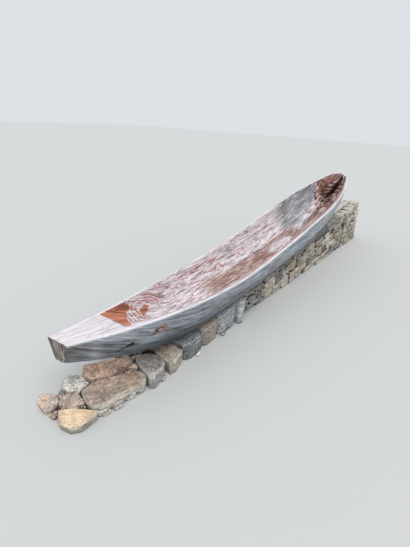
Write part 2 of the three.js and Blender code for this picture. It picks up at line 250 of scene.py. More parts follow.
# Drying cracks, thin strokes of thinned crimson paint, and the white lines between them, in the
# hull's own millimetres: x and distance across from the middle of the keel or floor at both ends,
# half width, and how far the line bows
hullLines = {
    "crack": {
        "outside": [
            (322, -158, 376, -188, 11, -2), (262, -122, 350, -171, 3, -3),
            (460, -246, 527, -264, 5, 3), (476, -234, 540, -243, 2.6, -3),
            (610, -190, 1010, -226, 2, -8), (1240, -300, 1820, -318, 2, 6),
            (1500, -210, 2230, -250, 2.2, -9), (2350, -330, 2830, -318, 2.2, 7),
            (700, 240, 1500, 262, 2.6, 8), (1900, 300, 2700, 318, 2.6, -8),
        ],
        "inside": [
            (343, -128, 348, 12, 5, 2), (2795, 84, 2836, 60, 5, 3), (2838, 60, 2852, 18, 7, 3),
            (1905, 136, 1990, 50, 3, 12), (3060, 26, 3560, 0, 4.5, 8), (2860, 30, 3300, 52, 2.2, 6),
            (900, 232, 980, 216, 2.6, 4), (1560, 262, 1900, 268, 1.5, 3),
            (2050, 276, 2700, 290, 1.6, 4), (1180, -120, 1900, -150, 3, 9),
            (2100, -190, 2800, -160, 3.2, -9), (3080, -90, 3500, -60, 3.4, 6),
        ],
    },
    "mark": {
        "inside": [
            (1119, 312, 1317, 278, 5, 4), (1300, 282, 1480, 262, 4, 3),
            (1116, 297, 1246, 274, 4, -3), (1040, 250, 1160, 237, 3, 4),
            (1165, 246, 1300, 236, 4.5, -3), (1270, 229, 1420, 220, 3.5, 3),
            (890, 300, 1000, 290, 3, 3), (1000, 288, 1075, 254, 3, -3),
            (1240, 208, 1430, 194, 3, 3), (1330, 302, 1520, 284, 3.5, 3),
            (1550, 280, 1700, 287, 8, 4), (1610, 270, 1690, 268, 4, 2),
            (1660, 254, 1745, 207, 13, 2), (1552, 217, 1652, 207, 9, -3),
            (1640, 214, 1705, 232, 7, 3), (1705, 203, 1760, 176, 7, 3),
            (1765, 266, 1805, 262, 5, 2), (1985, 212, 2155, 230, 5, 5),
            (2020, 258, 2170, 266, 4.5, 4), (1960, 196, 2060, 204, 4, 3),
            (1325, 292, 1385, 279, 5, 3), (1295, 233, 1345, 231, 5, 3),
            (1430, 262, 1530, 254, 3, 2), (1820, 234, 1940, 226, 3, 3), (884, 194, 900, 158, 5, 3),
            (1050, 150, 1250, 138, 2.5, 4), (1420, 180, 1650, 168, 2.5, 4),
            (2250, 246, 2450, 240, 2.5, 4), (1180, 108, 1400, 98, 2, 3), (960, 110, 1110, 92, 2, 3),
            (745, 258, 935, 221, 6, 18), (765, 240, 912, 206, 6, 10), (838, 288, 1065, 268, 5, 22),
            (698, 220, 815, 199, 5, 8), (800, 322, 1015, 306, 4, 10),
        ],
    },
    "white": {
        "inside": [
            (1538, 126, 2095, 160, 3.5, -6), (2040, 158, 2345, 176, 4.5, -4),
            (1790, 94, 2300, 132, 3, -4), (1080, 320, 1330, 290, 4, 3),
            (1150, 262, 1420, 240, 4, 3), (1570, 272, 1700, 258, 5, 3),
            (1600, 244, 1800, 228, 5, 3), (1320, 212, 1640, 192, 2.5, 4),
            (1820, 262, 2300, 250, 4, 5), (2340, 200, 2900, 190, 4.5, 6),
            (2200, 304, 2750, 312, 3.5, 5), (1000, 176, 1330, 160, 4, 5),
            (2050, 196, 2420, 216, 3.5, 5), (1480, 30, 2100, 44, 3.5, 5),
            (1300, -20, 1900, -8, 3.5, 4), (2500, 262, 2940, 270, 3, 5),
            (3100, 150, 3480, 132, 3.5, 4), (1400, 140, 1800, 150, 3.5, 5),
            (755, 249, 925, 213, 3.5, 15), (780, 229, 905, 196, 3.5, 9),
            (850, 300, 1060, 282, 3.5, 20),
        ],
    },
}

# Red ochre paint, in the same millimetres. edge: distance across, x where the solid paint ends.
# strokes: x and distance across at both ends, half width, share of paint
paintLeft = {
    "edge": [(0, 455), (20, 490), (40, 520), (72, 532), (98, 541), (130, 545), (150, 572),
             (172, 608), (196, 612), (206, 560), (222, 470), (250, 400), (330, 380)],
    "strokes": [
        (698, 128, 706, 150, 10, 1.15), (716, 146, 756, 170, 16, 1.25),
        (744, 164, 790, 180, 7, 0.9), (640, 200, 700, 206, 9, 0.5),
        (600, 120, 660, 140, 16, 0.55), (560, 150, 640, 176, 12, 0.6),
        (745, 242, 900, 216, 22, 0.6),
    ],
}


def splitLine(x):
    # where the split through the rotted block runs: from the middle over to the near side, and wavy
    place = np.stack([x / 60, 0 * x, 0 * x], axis=-1)
    return np.interp(x, *np.array(hull["splitAlong"]).T) + 5 * valueNoise(place, 61)


def halfWidth(x):
    # a slow widening, drawn in by a rounded taper at each end
    body = hull["midHalf"] + hull["widening"] * (x - hull["meanAt"])
    near = clamp01((hull["nearTaper"] - x) / hull["nearTaper"]) ** 1.9
    far = clamp01((x - hull["farTaper"]) / (hull["length"] - hull["farTaper"])) ** 2
    return body - (body - hull["nearHalf"]) * near - (body - hull["farHalf"]) * far


def sheerCurve(x):
    # two power curves that meet at the lowest point of the rim
    low = hull["sheerLowAt"]
    near = hull["nearRise"] * clamp01((low - x) / low) ** 2.15
    far = hull["farRise"] * clamp01((x - low) / (hull["length"] - low)) ** 1.5
    return hull["sheerLow"] + near + far


def rimHeight(x):
    # the sheer curve, straight over the flat block
    block = hull["block"]
    first, last = sheerCurve(np.array([0.0, block]))
    return np.where(x >= block, sheerCurve(x), first + (last - first) * x / block)


def keelHeight(x):
    # flat on the wall, rising to both ends
    near = clamp01((hull["flatFrom"] - x) / hull["flatFrom"]) ** 1.7
    far = clamp01((x - hull["flatTo"]) / (hull["length"] - hull["flatTo"])) ** 1.8
    return hull["nearKeel"] * near + hull["farKeel"] * far


def troughShare(x):
    # none in the near block, a step and a long ramp, and a rise into the rotted block
    past = x - hull["block"]
    ramp = 0.3 + 0.7 * clamp01((past - hull["stepRun"]) / hull["rampRun"]) ** 0.8
    ramp = ramp * clamp01(past / hull["stepRun"])
    rise = 1 - 0.55 * clamp01((x - hull["rotStart"]) / (hull["rotTop"] - hull["rotStart"]))
    return np.minimum(ramp, rise)


def hullSection(x, angle):
    # rounded boxes |y/b|^n + |z/d|^n = 1, outside and inside, narrower towards the bottom
    x = x[:, None]
    halfWide, rim = halfWidth(x), rimHeight(x)
    depth = rim - keelHeight(x)
    nearEnd, farEnd = clamp01((900 - x) / 900), clamp01((x - 3000) / 900)
    power = 2 / (2.5 + 2.2 * nearEnd ** 2 - 0.5 * farEnd)
    tuck = 0.05 + 0.3 * nearEnd ** 2
    c, s = np.cos(angle)[None, :], np.sin(angle)[None, :]
    loops = []
    inner = np.maximum(0, depth - hull["floorThickness"]) * troughShare(x)
    for half, deep, flat in ((halfWide, depth, 1.04), (halfWide - hull["rimWidth"], inner, 1.03)):
        fall = np.minimum(1, flat * np.abs(s) ** power)
        y = -half * np.sign(c) * np.abs(c) ** power * (1 - tuck * fall)
        loops.append(np.stack([x + 0 * y, y, rim - deep * fall], axis=-1))
    return loops


def hullGrid():
    # stations along x, each a closed loop: outside, far rim, inside backwards, near rim
    x = np.concatenate([np.arange(0, hull["fineTo"], hull["fineStep"]),
                        np.arange(hull["fineTo"], hull["coarseTo"], hull["coarseStep"]),
                        np.linspace(hull["coarseTo"], hull["length"], hull["farStations"])])
    sides, steps = hull["sides"], hull["rimSteps"]
    angle = np.linspace(0, np.pi, sides + 1)
    outside, inside = hullSection(x, angle)
    t = (np.arange(1, steps) / steps)[None, :, None]
    farRim = outside[:, -1:] * (1 - t) + inside[:, -1:] * t
    nearRim = inside[:, :1] * (1 - t) + outside[:, :1] * t
    loop = np.concatenate([outside, farRim, inside[:, ::-1], nearRim], axis=1)
    return x, loop


def loopQuads(rows, columns):
    # quads between neighbouring rows of closed loops, turned outwards
    i, j = np.meshgrid(np.arange(rows - 1), np.arange(columns), indexing="ij")
    k = (j + 1) % columns
    quads = np.stack([i * columns + j, (i + 1) * columns + j, (i + 1) * columns + k,
                      i * columns + k], axis=-1)
    return quads.reshape(-1, 4)


def endCap(loopIndex, points, first, sides, steps):
    # fills one end: rows between the outside and the inside, whose edges are the loop's own points
    t = (np.arange(1, steps) / steps)[:, None, None]
    outside = points[loopIndex[:sides + 1]]
    inside = points[loopIndex[sides + steps:2 * sides + steps + 1]][::-1]
    grid = np.full((steps + 1, sides + 1), -1)
    grid[0] = loopIndex[:sides + 1]
    grid[-1] = loopIndex[sides + steps:2 * sides + steps + 1][::-1]
    grid[1:-1, -1] = loopIndex[sides + 1:sides + steps]
    grid[1:-1, 0] = loopIndex[2 * sides + steps + 1:][::-1]
    added = (outside * (1 - t) + inside * t)[:, 1:-1].reshape(-1, 3)
    grid[1:-1, 1:-1] = first + np.arange(len(added)).reshape(steps - 1, sides - 1)
    quads = np.stack([grid[:-1, :-1], grid[:-1, 1:], grid[1:, 1:], grid[1:, :-1]], axis=-1)
    return added, quads.reshape(-1, 4)


def nearestLine(table, points, across, isSide):
    # signed distance of each point from the nearest line of the table, and its half width there:
    # a square root that comes to nothing at both ends
    away, width = np.full(len(points), 90.0), np.zeros(len(points))
    waver = 2.2 * valueNoise(points / (26, 60, 60), 35)
    for side, rows in table.items():
        for x0, v0, x1, v1, wide, bow in rows:
            length = np.hypot(x1 - x0, v1 - v0)
            t = ((points[:, 0] - x0) * (x1 - x0) + (across - v0) * (v1 - v0)) / length ** 2
            off = ((points[:, 0] - x0) * (v1 - v0) - (across - v0) * (x1 - x0)) / length
            off += bow * np.sin(np.pi * clamp01(t)) + waver
            here = (t > -0.08) & (t < 1.08) & (np.abs(off) < 42) & isSide[side]
            here &= np.abs(off) < np.abs(away)
            away = np.where(here, off, away)
            width = np.where(here, wide * np.sqrt(clamp01(4 * t * (1 - t))), width)
    return away, width


def wornRim(points, px, py, belowRim, half):
    # how far worn rims move up: lowered by a square at the edges of the rim strip, nicked by
    # bells, and gently wavy along the hull
    side = np.sign(py)
    edge = np.minimum(np.abs(np.abs(py) - half), 12)
    drop = 4.5 * (1 - edge / 12) ** 2 * smooth(16, 0, belowRim)
    ragged = 1 + 0.4 * valueNoise(points / 6.0, 91)
    for at, where, wide, deep in hull["notches"]:
        drop += deep * bell(px, at, wide) * ragged * (side == where) * smooth(
            40, 22, half - np.abs(py)) * smooth(deep + 14, 0, belowRim)
    wave = layeredNoise(np.stack([px, side * 500, 0 * px], -1), (190, 60, 60), 5) * 3.2
    return smooth(60, 0, belowRim) * wave - drop


def hewnSurface(points, px, py, pz, isInside, isRim):
    # how far the surface moves outwards: long shallow facets outside, short adze scoops inside,
    # both noise drawn out along the grain, and the knot, a raised ring round a sunken middle
    outer = layeredNoise(points, (420, 60, 60), 11) * 3.6
    outer += layeredNoise(points, (150, 22, 22), 12) * 1.3
    scoops = np.abs(layeredNoise(points, (95, 46, 46), 21, 2)) * 7 - 2.5
    scoops += layeredNoise(points, (70, 11, 11), 22, 2) * 1.6
    move = np.where(isInside, scoops * smooth(hull["block"], hull["block"] + 60, px), outer)
    deck = isInside & (px < hull["block"] + 2)
    move = np.where(deck, layeredNoise(points, (140, 18, 18), 31) * 1.4, move)
    move = np.where(isRim, layeredNoise(points, (60, 12, 12), 32) * 1.2, move)
    move *= np.where(pz < 3, 0.15, 1)
    crumbled = smooth(hull["rotStart"] - 130, hull["rotTop"] - 140, px) * isInside
    move += crumbled * (layeredNoise(points, (70, 9, 14), 41) * 8 + valueNoise(points / 19, 42) * 5)
    knotX, knotZ, knotLong, knotTall = hull["knot"]
    reach = np.hypot((px - knotX) / knotLong, (pz - knotZ) / knotTall)
    onNearSide = (py < 0) & ~isInside & ~isRim
    return move + onNearSide * (6 * bell(reach, 1.0, 0.45) - 10 * bell(reach, 0.0, 0.55))


def grainMap(x, loop):
    # metres along the hull, and across it from the middle of the keel or the floor: at each
    # corner of the shell's quads, and the second also at each point, outside and inside
    rows, columns = loop.shape[:2]
    sides, steps = hull["sides"], hull["rimSteps"]
    lengths = np.linalg.norm(np.diff(loop, axis=1, append=loop[:, :1]), axis=2)
    along = np.concatenate([np.zeros((rows, 1)), np.cumsum(lengths, axis=1)[:, :-1]], axis=1)
    keelAt, floorAt = along[:, sides // 2], along[:, sides + steps + sides // 2]
    acrossOut = (along - keelAt[:, None]) / 1000
    acrossIn = (floorAt[:, None] - along) / 1000
    i, j = np.meshgrid(np.arange(rows - 1), np.arange(columns), indexing="ij")
    k = (j + 1) % columns
    inQuad = (j >= sides + steps) & (j < 2 * sides + steps)
    farQuad = (j >= sides) & (j < sides + steps)
    nearQuad = j >= 2 * sides + steps
    corner = []
    for r, c in ((i, j), (i + 1, j), (i + 1, k), (i, k)):
        fromEdge = np.where(c == 0, 0, lengths.sum(axis=1)[r] - along[r, c]) / 1000
        fromFarSide = (along[r, c] - along[r, sides]) / 1000
        grainAcross = np.select([inQuad, farQuad, nearQuad],
                                [acrossIn[r, c], 3 + fromFarSide, 4 + fromEdge], acrossOut[r, c])
        corner.append(np.stack([x[r] / 1000, grainAcross], axis=-1))
    return np.stack(corner, axis=-2).reshape(-1, 2), acrossOut.ravel(), acrossIn.ravel()


def growthRings(points, px, py, pz, across):
    # the log's own rings are distances from its heart. Round the scoop's deepest spot they are
    # closed ovals, straight across on the side towards the block and gone below the spot. Gives
    # the distance in mm that the rings repeat over, their strength, and how far the spot is
    heart = np.hypot(py, pz - 150) + 20 * layeredNoise(points, (520, 70, 70), 72)
    heart += 7 * layeredNoise(points, (150, 30, 30), 73)
    spotX, spotAcross = hull["ringSpot"]
    offX, offAcross = px - spotX, np.abs(across) - spotAcross
    offX = offX + 0.17 * np.minimum(offAcross, 0) * (offX < 0)
    bowed = 0.3 + 0.7 * smooth(-40, 50, offAcross)
    fromSpot = np.hypot(offX * 0.67, offAcross * bowed)
    fromSpot += 13 * layeredNoise(points, (110, 60, 60), 71)
    fromSpot += 5 * layeredNoise(points, (30, 20, 20), 77)
    nearSpot = smooth(230, 165, fromSpot)
    rings = heart * (1 - nearSpot) - fromSpot * nearSpot
    shown = np.maximum(smooth(8, 34, offAcross), smooth(0, -34, offX))
    strength = smooth(168, 128, fromSpot) * shown
    strength = strength * smooth(62, 88, across) * smooth(304, 280, across)
    strength *= 0.9 - 0.3 * smooth(-30, 30, offX)
    return rings, np.maximum(strength, 0.12), fromSpot


def paintShare(points, px, across, fromSpot):
    # paint left in the trough: whole by the step, then worn to streaks, patches and strokes
    edgeAcross, edgeX = np.array(paintLeft["edge"]).T
    paintEnd = np.interp(np.abs(across), edgeAcross, edgeX) + 9 * layeredNoise(points, 40, 74)
    paint = 1.25 * smooth(paintEnd + 14, paintEnd - 10, px)
    worn = 0.3 * smooth(170, 110, fromSpot) * smooth(-60, 60, across)
    worn = worn * smooth(260, 200, px - paintEnd)
    paint = np.maximum(paint, worn + 0.1 * smooth(2300, 1200, px) * smooth(-20, 90, across))
    torn = 4 * layeredNoise(points, (110, 12, 12), 75)
    for x0, v0, x1, v1, wide, strength in paintLeft["strokes"]:
        length = np.hypot(x1 - x0, v1 - v0)
        t = clamp01(((px - x0) * (x1 - x0) + (across - v0) * (v1 - v0)) / length ** 2)
        away = np.hypot(px - x0 - t * (x1 - x0), across - v0 - t * (v1 - v0)) + torn
        paint = np.maximum(paint, strength * smooth(wide * 2.2, wide * 0.5, away))
    return paint * (px > hull["block"] - 3)


def most(*shares):
    # the greatest of several shares at each point
    return np.maximum.reduce(shares)


def oval(px, across, middle, reach):
    # distance from a middle, in units of the half lengths along and across
    return np.hypot((px - middle[0]) / reach[0], (across - middle[1]) / reach[1])


def troughTones(points, px, across):
    # broad changes of tone in the trough, as shares of brown, grey, pale, patch with painted shade,
    # and rot
    far, wall = np.abs(across), smooth(50, 170, across)
    brown = most(smooth(195, 110, far) * smooth(1150, 1700, px) * smooth(3250, 2900, px),
                 smooth(70, 20, across) * smooth(2800, 3000, px),
                 0.4 * smooth(1.3, 0.5, oval(px, across, (1560, 178), (170, 46))))
    grey = smooth(2600, 3200, px) * wall + 0.22 * smooth(150, 240, across) * smooth(1300, 900, px)
    pale = most(smooth(1500, 950, px) * smooth(170, 60, across),
                0.45 * bell(px, 2250, 420) * smooth(150, 200, across),
                0.85 * smooth(1.4, 0.6, oval(px, across, (2600, 48), (225, 58))),
                0.3 * smooth(8, -12, across) * smooth(2300, 2700, px),
                0.14 * bell(px, 3215, 110) * smooth(170, 250, across))
    # patch: the squared dark patch high on the far wall, and painted shade high on the far wall
    # before the rot
    patch = most(smooth(2972, 3000, px) * smooth(3126, 3098, px) * smooth(246, 264, across),
                 0.5 * smooth(3330, 3440, px) * smooth(150, 220, across))
    rotEdge = px + 55 * layeredNoise(points, (60, 24, 24), 81)
    rotEdge -= np.interp(across, *np.array(hull["rotAcross"]).T)
    return {"brown": brown, "grey": clamp01(grey), "pale": clamp01(pale), "patch": patch,
            "rot": smooth(3410, 3600, rotEdge)}


def makeHull():
    # the loops closed by two end caps, moved along their normals, with the fields for the wood
    x, loop = hullGrid()
    rows, columns = loop.shape[:2]
    sides, steps = hull["sides"], hull["rimSteps"]
    points = loop.reshape(-1, 3).copy()
    index = np.arange(len(points)).reshape(rows, columns)
    nearAdded, nearQuads = endCap(index[0], points, len(points), sides, steps)
    farAdded, farQuads = endCap(index[-1], points, len(points) + len(nearAdded), sides, steps)
    shell = loopQuads(rows, columns)
    points = np.concatenate([points, nearAdded, farAdded])
    quads = np.concatenate([shell, nearQuads[:, ::-1], farQuads])

    # which part of the loop a point is in
    onShell = slice(0, rows * columns)
    column = np.tile(np.arange(columns), rows)
    total = len(points)
    isInside, isRim = np.zeros(total, bool), np.zeros(total, bool)
    isInside[onShell] = (column >= sides + steps) & (column <= 2 * sides + steps)
    isRim[onShell] = ((column > sides) & (column < sides + steps)) | (column > 2 * sides + steps)
    px, py, pz = points.T.copy()
    half = halfWidth(px)
    belowRim = rimHeight(px) - pz
    normals = vertexNormals(points, quads)
    points[:, 2] += wornRim(points, px, py, belowRim, half)
    move = hewnSurface(points, px, py, pz, isInside, isRim)

    # lines, with the split through the rotted block as the widest of the cracks
    shellUv, acrossOut, acrossIn = grainMap(x, loop)
    across = np.full(total, 900.0)
    across[onShell] = np.where(isInside[onShell], acrossIn, acrossOut) * 1000
    isSide = {"inside": isInside & ~isRim, "outside": ~isInside & ~isRim}
    (crack, crackWidth), (mark, markWidth), (white, whiteWidth) = [
        nearestLine(table, points, across, isSide) for table in hullLines.values()]
    move -= 0.8 * crackWidth * bell(crack, 0, 0.8 * crackWidth + 3)
    fromSplit = py - splitLine(px)
    nearer = isInside & (px > 3520) & (np.abs(fromSplit) < np.abs(crack))
    crack = np.where(nearer, fromSplit, crack)
    crackWidth = np.where(nearer, 15 * smooth(3530, 3600, px), crackWidth)
    points += normals * move[:, None]

    # rough transom, a ragged broken tip, and the opened split
    ragged = layeredNoise(points, (30, 10, 45), 51)
    points[:, 0] += np.where(px < 1, 2.4 * ragged, 0)
    tip = smooth(hull["length"] - 60, hull["length"], px)
    gone = bell(py, splitLine(px), 20) * smooth(150, 20, belowRim)
    points[:, 0] -= tip * (6 + 8 * gone + 12 * ragged) * smooth(230, 0, belowRim)
    points[:, 2] -= tip * (5 * gone + 7 * np.abs(ragged) * smooth(60, 0, belowRim))
    points[:, 2] -= bell(py, splitLine(px), 18) * smooth(3500, 3620, px) * isInside * 75
    capUv = points[quads[len(shell):].ravel()][:, 1:] / 1000
    uv = np.concatenate([shellUv, capUv])

    rings, ringStrength, fromSpot = growthRings(points, px, py, pz, across)
    tones = troughTones(points, px, across)
    t = np.arange(1, steps) / steps
    rimShare = np.where(isInside, 1.0, 0.0)
    rimShare[onShell] = np.tile(np.concatenate([
        np.zeros(sides + 1), 0.35 * t, np.ones(sides + 1), 1 - t]), rows)
    fields = {
        **tones, "rot": tones["rot"] * isInside, "rings": rings / 1000,
        "paint": paintShare(points, px, across, fromSpot) * isInside,
        "ringStrength": ringStrength, "rimShare": rimShare,
        "crack": crack / 1000, "crackWidth": crackWidth / 1000,
        "mark": mark / 1000, "markWidth": markWidth / 1000, "white": white / 1000,
        "whiteWidth": whiteWidth / 1000, "belowRim": np.where(isRim, 0, belowRim / 1000),
        # low: painted shade under the hull, darkest at the keel and gone 190 mm above it, scaled
        # along the hull
        "low": smooth(190, 30, pz - keelHeight(px)) * np.interp(
            px, *np.array(hull["footShadeAlong"]).T),
        "gain": np.interp(px, *np.array(hull["gainAlong"]).T),
    }
    points[:, 0] += hull["start"]
    thing = buildMesh("dugoutHull", points, quads, np.zeros((0, 3), int), fields, uv)
    columnOf = np.tile(np.arange(columns), rows - 1)
    station = np.repeat(x[:-1], columns)
    slotOf = np.zeros(len(quads), np.int32)
    inTrough = (columnOf >= sides + steps) & (columnOf < 2 * sides + steps)
    onRim = (columnOf >= sides) & ~inTrough
    slotOf[:len(shell)] = np.where(onRim | (inTrough & (station < hull["block"] - 1)), 1,
                                   np.where(inTrough, 2, 0))
    slotOf[len(shell):] = 3
    thing.data.polygons.foreach_set("material_index", slotOf)
    return thing


hullObject = makeHull()
print("hull:", len(hullObject.data.polygons), "quads")


# Weathered wood. Every pattern reads the grain map, in metres along and across the hull, so a
# scale of 90 across and 3 along draws grain about 11 mm wide and 330 mm long.
silvered = {
    "ramp": [(0.0, "#4a4f53"), (0.3, "#6f757b"), (0.5, "#8e939a"), (0.72, "#a9adb5"),
             (1.0, "#cdcfd6")],
    # stain is the colour of the painted shade at the hull's foot
    "brown": "#87786e", "rim": "#e2e0e3", "stain": "#35393b", "crack": "#1f1b19",
    "hair": "#34302e", "bluePatch": "#98a2ab", "knotBrown": "#8d7268",
    # the knot and the patch: middle in the level frame in mm, half lengths in m, ring of the knot
    "knot": (hull["knot"][0] + hull["start"], -156.0, hull["knot"][1]),
    "knotSize": (0.054, 0.09, 0.031),
    "patch": (498.0 + hull["start"], -137.0, 205.0), "patchSize": (0.085, 0.12, 0.024),
    "knotRing": [(0.0, 1.2), (0.3, 1.45), (0.42, 0.1), (0.54, 0.12), (0.66, 1.5), (0.8, 0.75),
                 (1.0, 1.0)],
}


def grainStreaks(add, alongScale, acrossScale, detail=6, roughness=0.6, offset=0.0, bend=0.25):
    # noise drawn out along the grain: fine across it and long along it
    stretched = add("mapping", add("grain"), (alongScale, acrossScale, 1),
                    (offset, offset * 1.7, offset))
    return add("noise", stretched, 1, detail, roughness, bend)


def grainLines(add, noise, middle, halfWidth):
    # 1 where the noise crosses the value, 0 further than the half width from it: long thin lines
    away = add("absolute", add("subtract", noise, middle))
    return add("smoothRange", away, halfWidth * 0.35, halfWidth, 1, 0)


def lineShare(add, name, roughness):
    # 1 inside the lines of one table: nearer to a line than its half width, with torn edges
    away, wide = (add("number", attribute_name=key) for key in (name, name + "Width"))
    torn = add("multiplyAdd", add("subtract", roughness, 0.5), 0.016, away)
    return add("range", add("subtract", wide, add("absolute", torn)), -0.0008, 0.0012)


def makeSilveredWood():
    # bare log wood left outside for years: grey, ridged along the grain, checked, matt
    material, add = newMaterial("silveredLogWood")
    streaks = grainStreaks(add, 2.0, 92, 7, 0.7, 0.0, 0.1)
    fine = grainStreaks(add, 10, 330, 4, 0.7, 3.1, 0.1)
    broad = grainStreaks(add, 1.1, 15, 4, 0.55, 12.4)
    patches = grainStreaks(add, 2.6, 9, 5, 0.6, 7.7)
    dashes = grainStreaks(add, 8, 84, 5, 0.68, 40.0, 0.2)
    gain, low, below = (add("number", attribute_name=key) for key in ("gain", "low", "belowRim"))
    mixed = streaks
    for pattern, weight in ((fine, 0.3), (broad, 0.35), (dashes, 0.9)):
        mixed = add("multiplyAdd", pattern, weight, mixed)
    colour = add("ramp", add("range", mixed, 1.02, 1.54), stops=silvered["ramp"])
    brownShare = add("range", patches, 0.52, 0.66, 0, 0.45)
    colour = add("mix", brownShare, colour, silvered["brown"])
    shade = add("multiply", add("range", patches, 0.32, 0.52, 0.86, 1.05), gain)
    colour = add("scale", colour, shade)

    # hairline checks along the grain, only in some stretches
    hair = grainLines(add, grainStreaks(add, 1.2, 34, 3, 0.5, 21.3, 0.1), 0.5, 0.014)
    hairShare = add("multiply", hair, add("range", patches, 0.42, 0.6, 0, 0.75))
    # the foot darkens towards the keel as painted shade under the hull, then the hairline checks
    # darken
    for share, tone in ((add("multiply", low, 0.78), "stain"), (hairShare, "hair")):
        colour = add("mix", share, colour, silvered[tone])

    # the knot: a dark ring open to one side round a brown heart, and the log's pale patch below
    position = add("place")
    toKnot, toPatch = [add("unmapping", position, silvered[key + "Size"],
                           tuple(toRow(np.array(silvered[key])))) for key in ("knot", "patch")]
    swirl = add("subtract", add("multiplyAdd", fine, 0.5, add("length", toKnot)), 0.25)
    knotShare = add("range", swirl, 1.15, 0.85, 0, 0.75)
    colour = add("mix", knotShare, colour, silvered["knotBrown"])
    ringShare = add("range", add("dot", toKnot, (-0.3, 0, 0.9)), -0.6, 0.1, 0.3, 1.0)
    colour = add("multiplyMix", ringShare, colour,
                 add("ramp", swirl, stops=silvered["knotRing"]))
    patchReach = add("multiplyAdd", streaks, 1.4, add("length", toPatch))
    crack = lineShare(add, "crack", fine)
    bleach = add("multiplyAdd", streaks, 0.024, below)
    for share, tone in ((add("range", patchReach, 1.9, 1.4, 0, 0.6), "bluePatch"),
                        (crack, "crack"), (add("range", bleach, 0.026, 0.013, 0, 0.85), "rim")):
        colour = add("mix", share, colour, silvered[tone])
    height = streaks
    for pattern, weight in ((fine, 0.45), (hairShare, -0.5), (crack, -2.0)):
        height = add("multiplyAdd", pattern, weight, height)
    return finishMaterial(material, add, colour, height, 1.0, 0.005, 0.86, 0.3)


bleached = {
    "ramp": [(0.3, "#a99ea1"), (0.42, "#d3cbcf"), (0.5, "#e6e0e4"), (0.66, "#f0ebef")],
    "behind": [(0.35, "#9b8a89"), (0.5, "#bfadac"), (0.65, "#d3c4c2")],
    "line": "#b99f95", "fleck": "#ab9286", "seam": "#59443c", "crack": "#5b352a", "rot": "#8a6f68",
}


def makeBleachedWood():
    # the hewn top of the block and the rims: sun-bleached, whitest at the outer edge, with faint
    # brown grain, pinkish behind the edge and a dark seam where the rim meets the trough
    material, add = newMaterial("bleachedHewnWood")
    streaks = grainStreaks(add, 3.0, 42, 7, 0.66)
    fine = grainStreaks(add, 14, 380, 4, 0.7, 2.3)
    flame = grainStreaks(add, 1.5, 10, 3, 0.5, 33.1, 0.3)
    rim, rot = (add("number", attribute_name=key) for key in ("rimShare", "rot"))
    lines = add("maximum", grainLines(add, flame, 0.47, 0.02), grainLines(add, flame, 0.57, 0.016))
    # along the trough the strip behind the white edge is pinkish
    along = add("xOf", add("grain"))
    ragged = add("multiplyAdd", streaks, 0.7, rim)
    behind = add("multiply", add("range", ragged, 0.62, 0.82), add("range", along, 0.37, 0.9))
    seam = add("multiply", add("range", ragged, 1.28, 1.38), add("range", along, 1.9, 2.5, 0, 0.7))
    crack = add("multiply", lineShare(add, "crack", fine), 0.85)
    colour = add("ramp", streaks, stops=bleached["ramp"])
    for share, tone in ((add("multiply", lines, 0.36), bleached["line"]),
                        (add("range", fine, 0.58, 0.7, 0, 0.6), bleached["fleck"]),
                        (behind, add("ramp", streaks, stops=bleached["behind"])),
                        (seam, bleached["seam"]), (crack, bleached["crack"]),
                        (rot, bleached["rot"])):
        colour = add("mix", share, colour, tone)
    height = add("multiplyAdd", fine, 0.5, streaks)
    return finishMaterial(material, add, colour, height, 0.8, 0.004, 0.82, 0.3)


# Each state of the bare wood: the field that says where, its ramp over the streaks, and how much
# a pattern ragged its edge
trough = {
    "faded": [(0.0, "#8a7b81"), (0.18, "#bcafb5"), (0.37, "#e0d8dc"), (0.62, "#f5eff2"),
              (1.0, "#fdfafb")],
    "states": [
        ("grey", 0.5, [(0.0, "#57585f"), (0.25, "#777b82"), (0.5, "#949aa2"), (0.75, "#b1b5bd"),
                       (1.0, "#dcdee3")]),
        ("brown", 2.4, [(0.0, "#3f2b22"), (0.2, "#6a4b3e"), (0.42, "#93756a"), (0.64, "#bf9f94"),
                        (1.0, "#f6e8e1")]),
        ("pale", 0.7, [(0.0, "#b0a2a4"), (0.2, "#d9cfd2"), (0.45, "#ece5e8"), (0.75, "#f8f3f5"),
                       (1.0, "#fdfbfb")]),
    ],
    "ochre": [(0.16, "#7a402a"), (0.36, "#a8603a"), (0.48, "#cb7c4e"), (0.66, "#cc8266"),
              (0.9, "#dba08e")],
    "crimson": [(0.15, "#8f4247"), (0.5, "#bb5f66"), (0.9, "#d99a9c")],
    "rotten": [(0.28, "#2f1f1d"), (0.4, "#76524b"), (0.5, "#a3827b"), (0.6, "#c9aaa5"),
               (0.72, "#e2d3c6")],
    "line": [(0.44, "#9f5f54"), (0.58, "#9c7a7c")], "grooveRed": "#bd7c70", "groove": "#b0867f",
    "ridge": "#fbf4f4", "patch": "#7f7a7b", "pit": "#776163", "seam": "#33211c",
    "ringStep": 0.025, "flameLines": (0.41, 0.505, 0.55, 0.6),
}


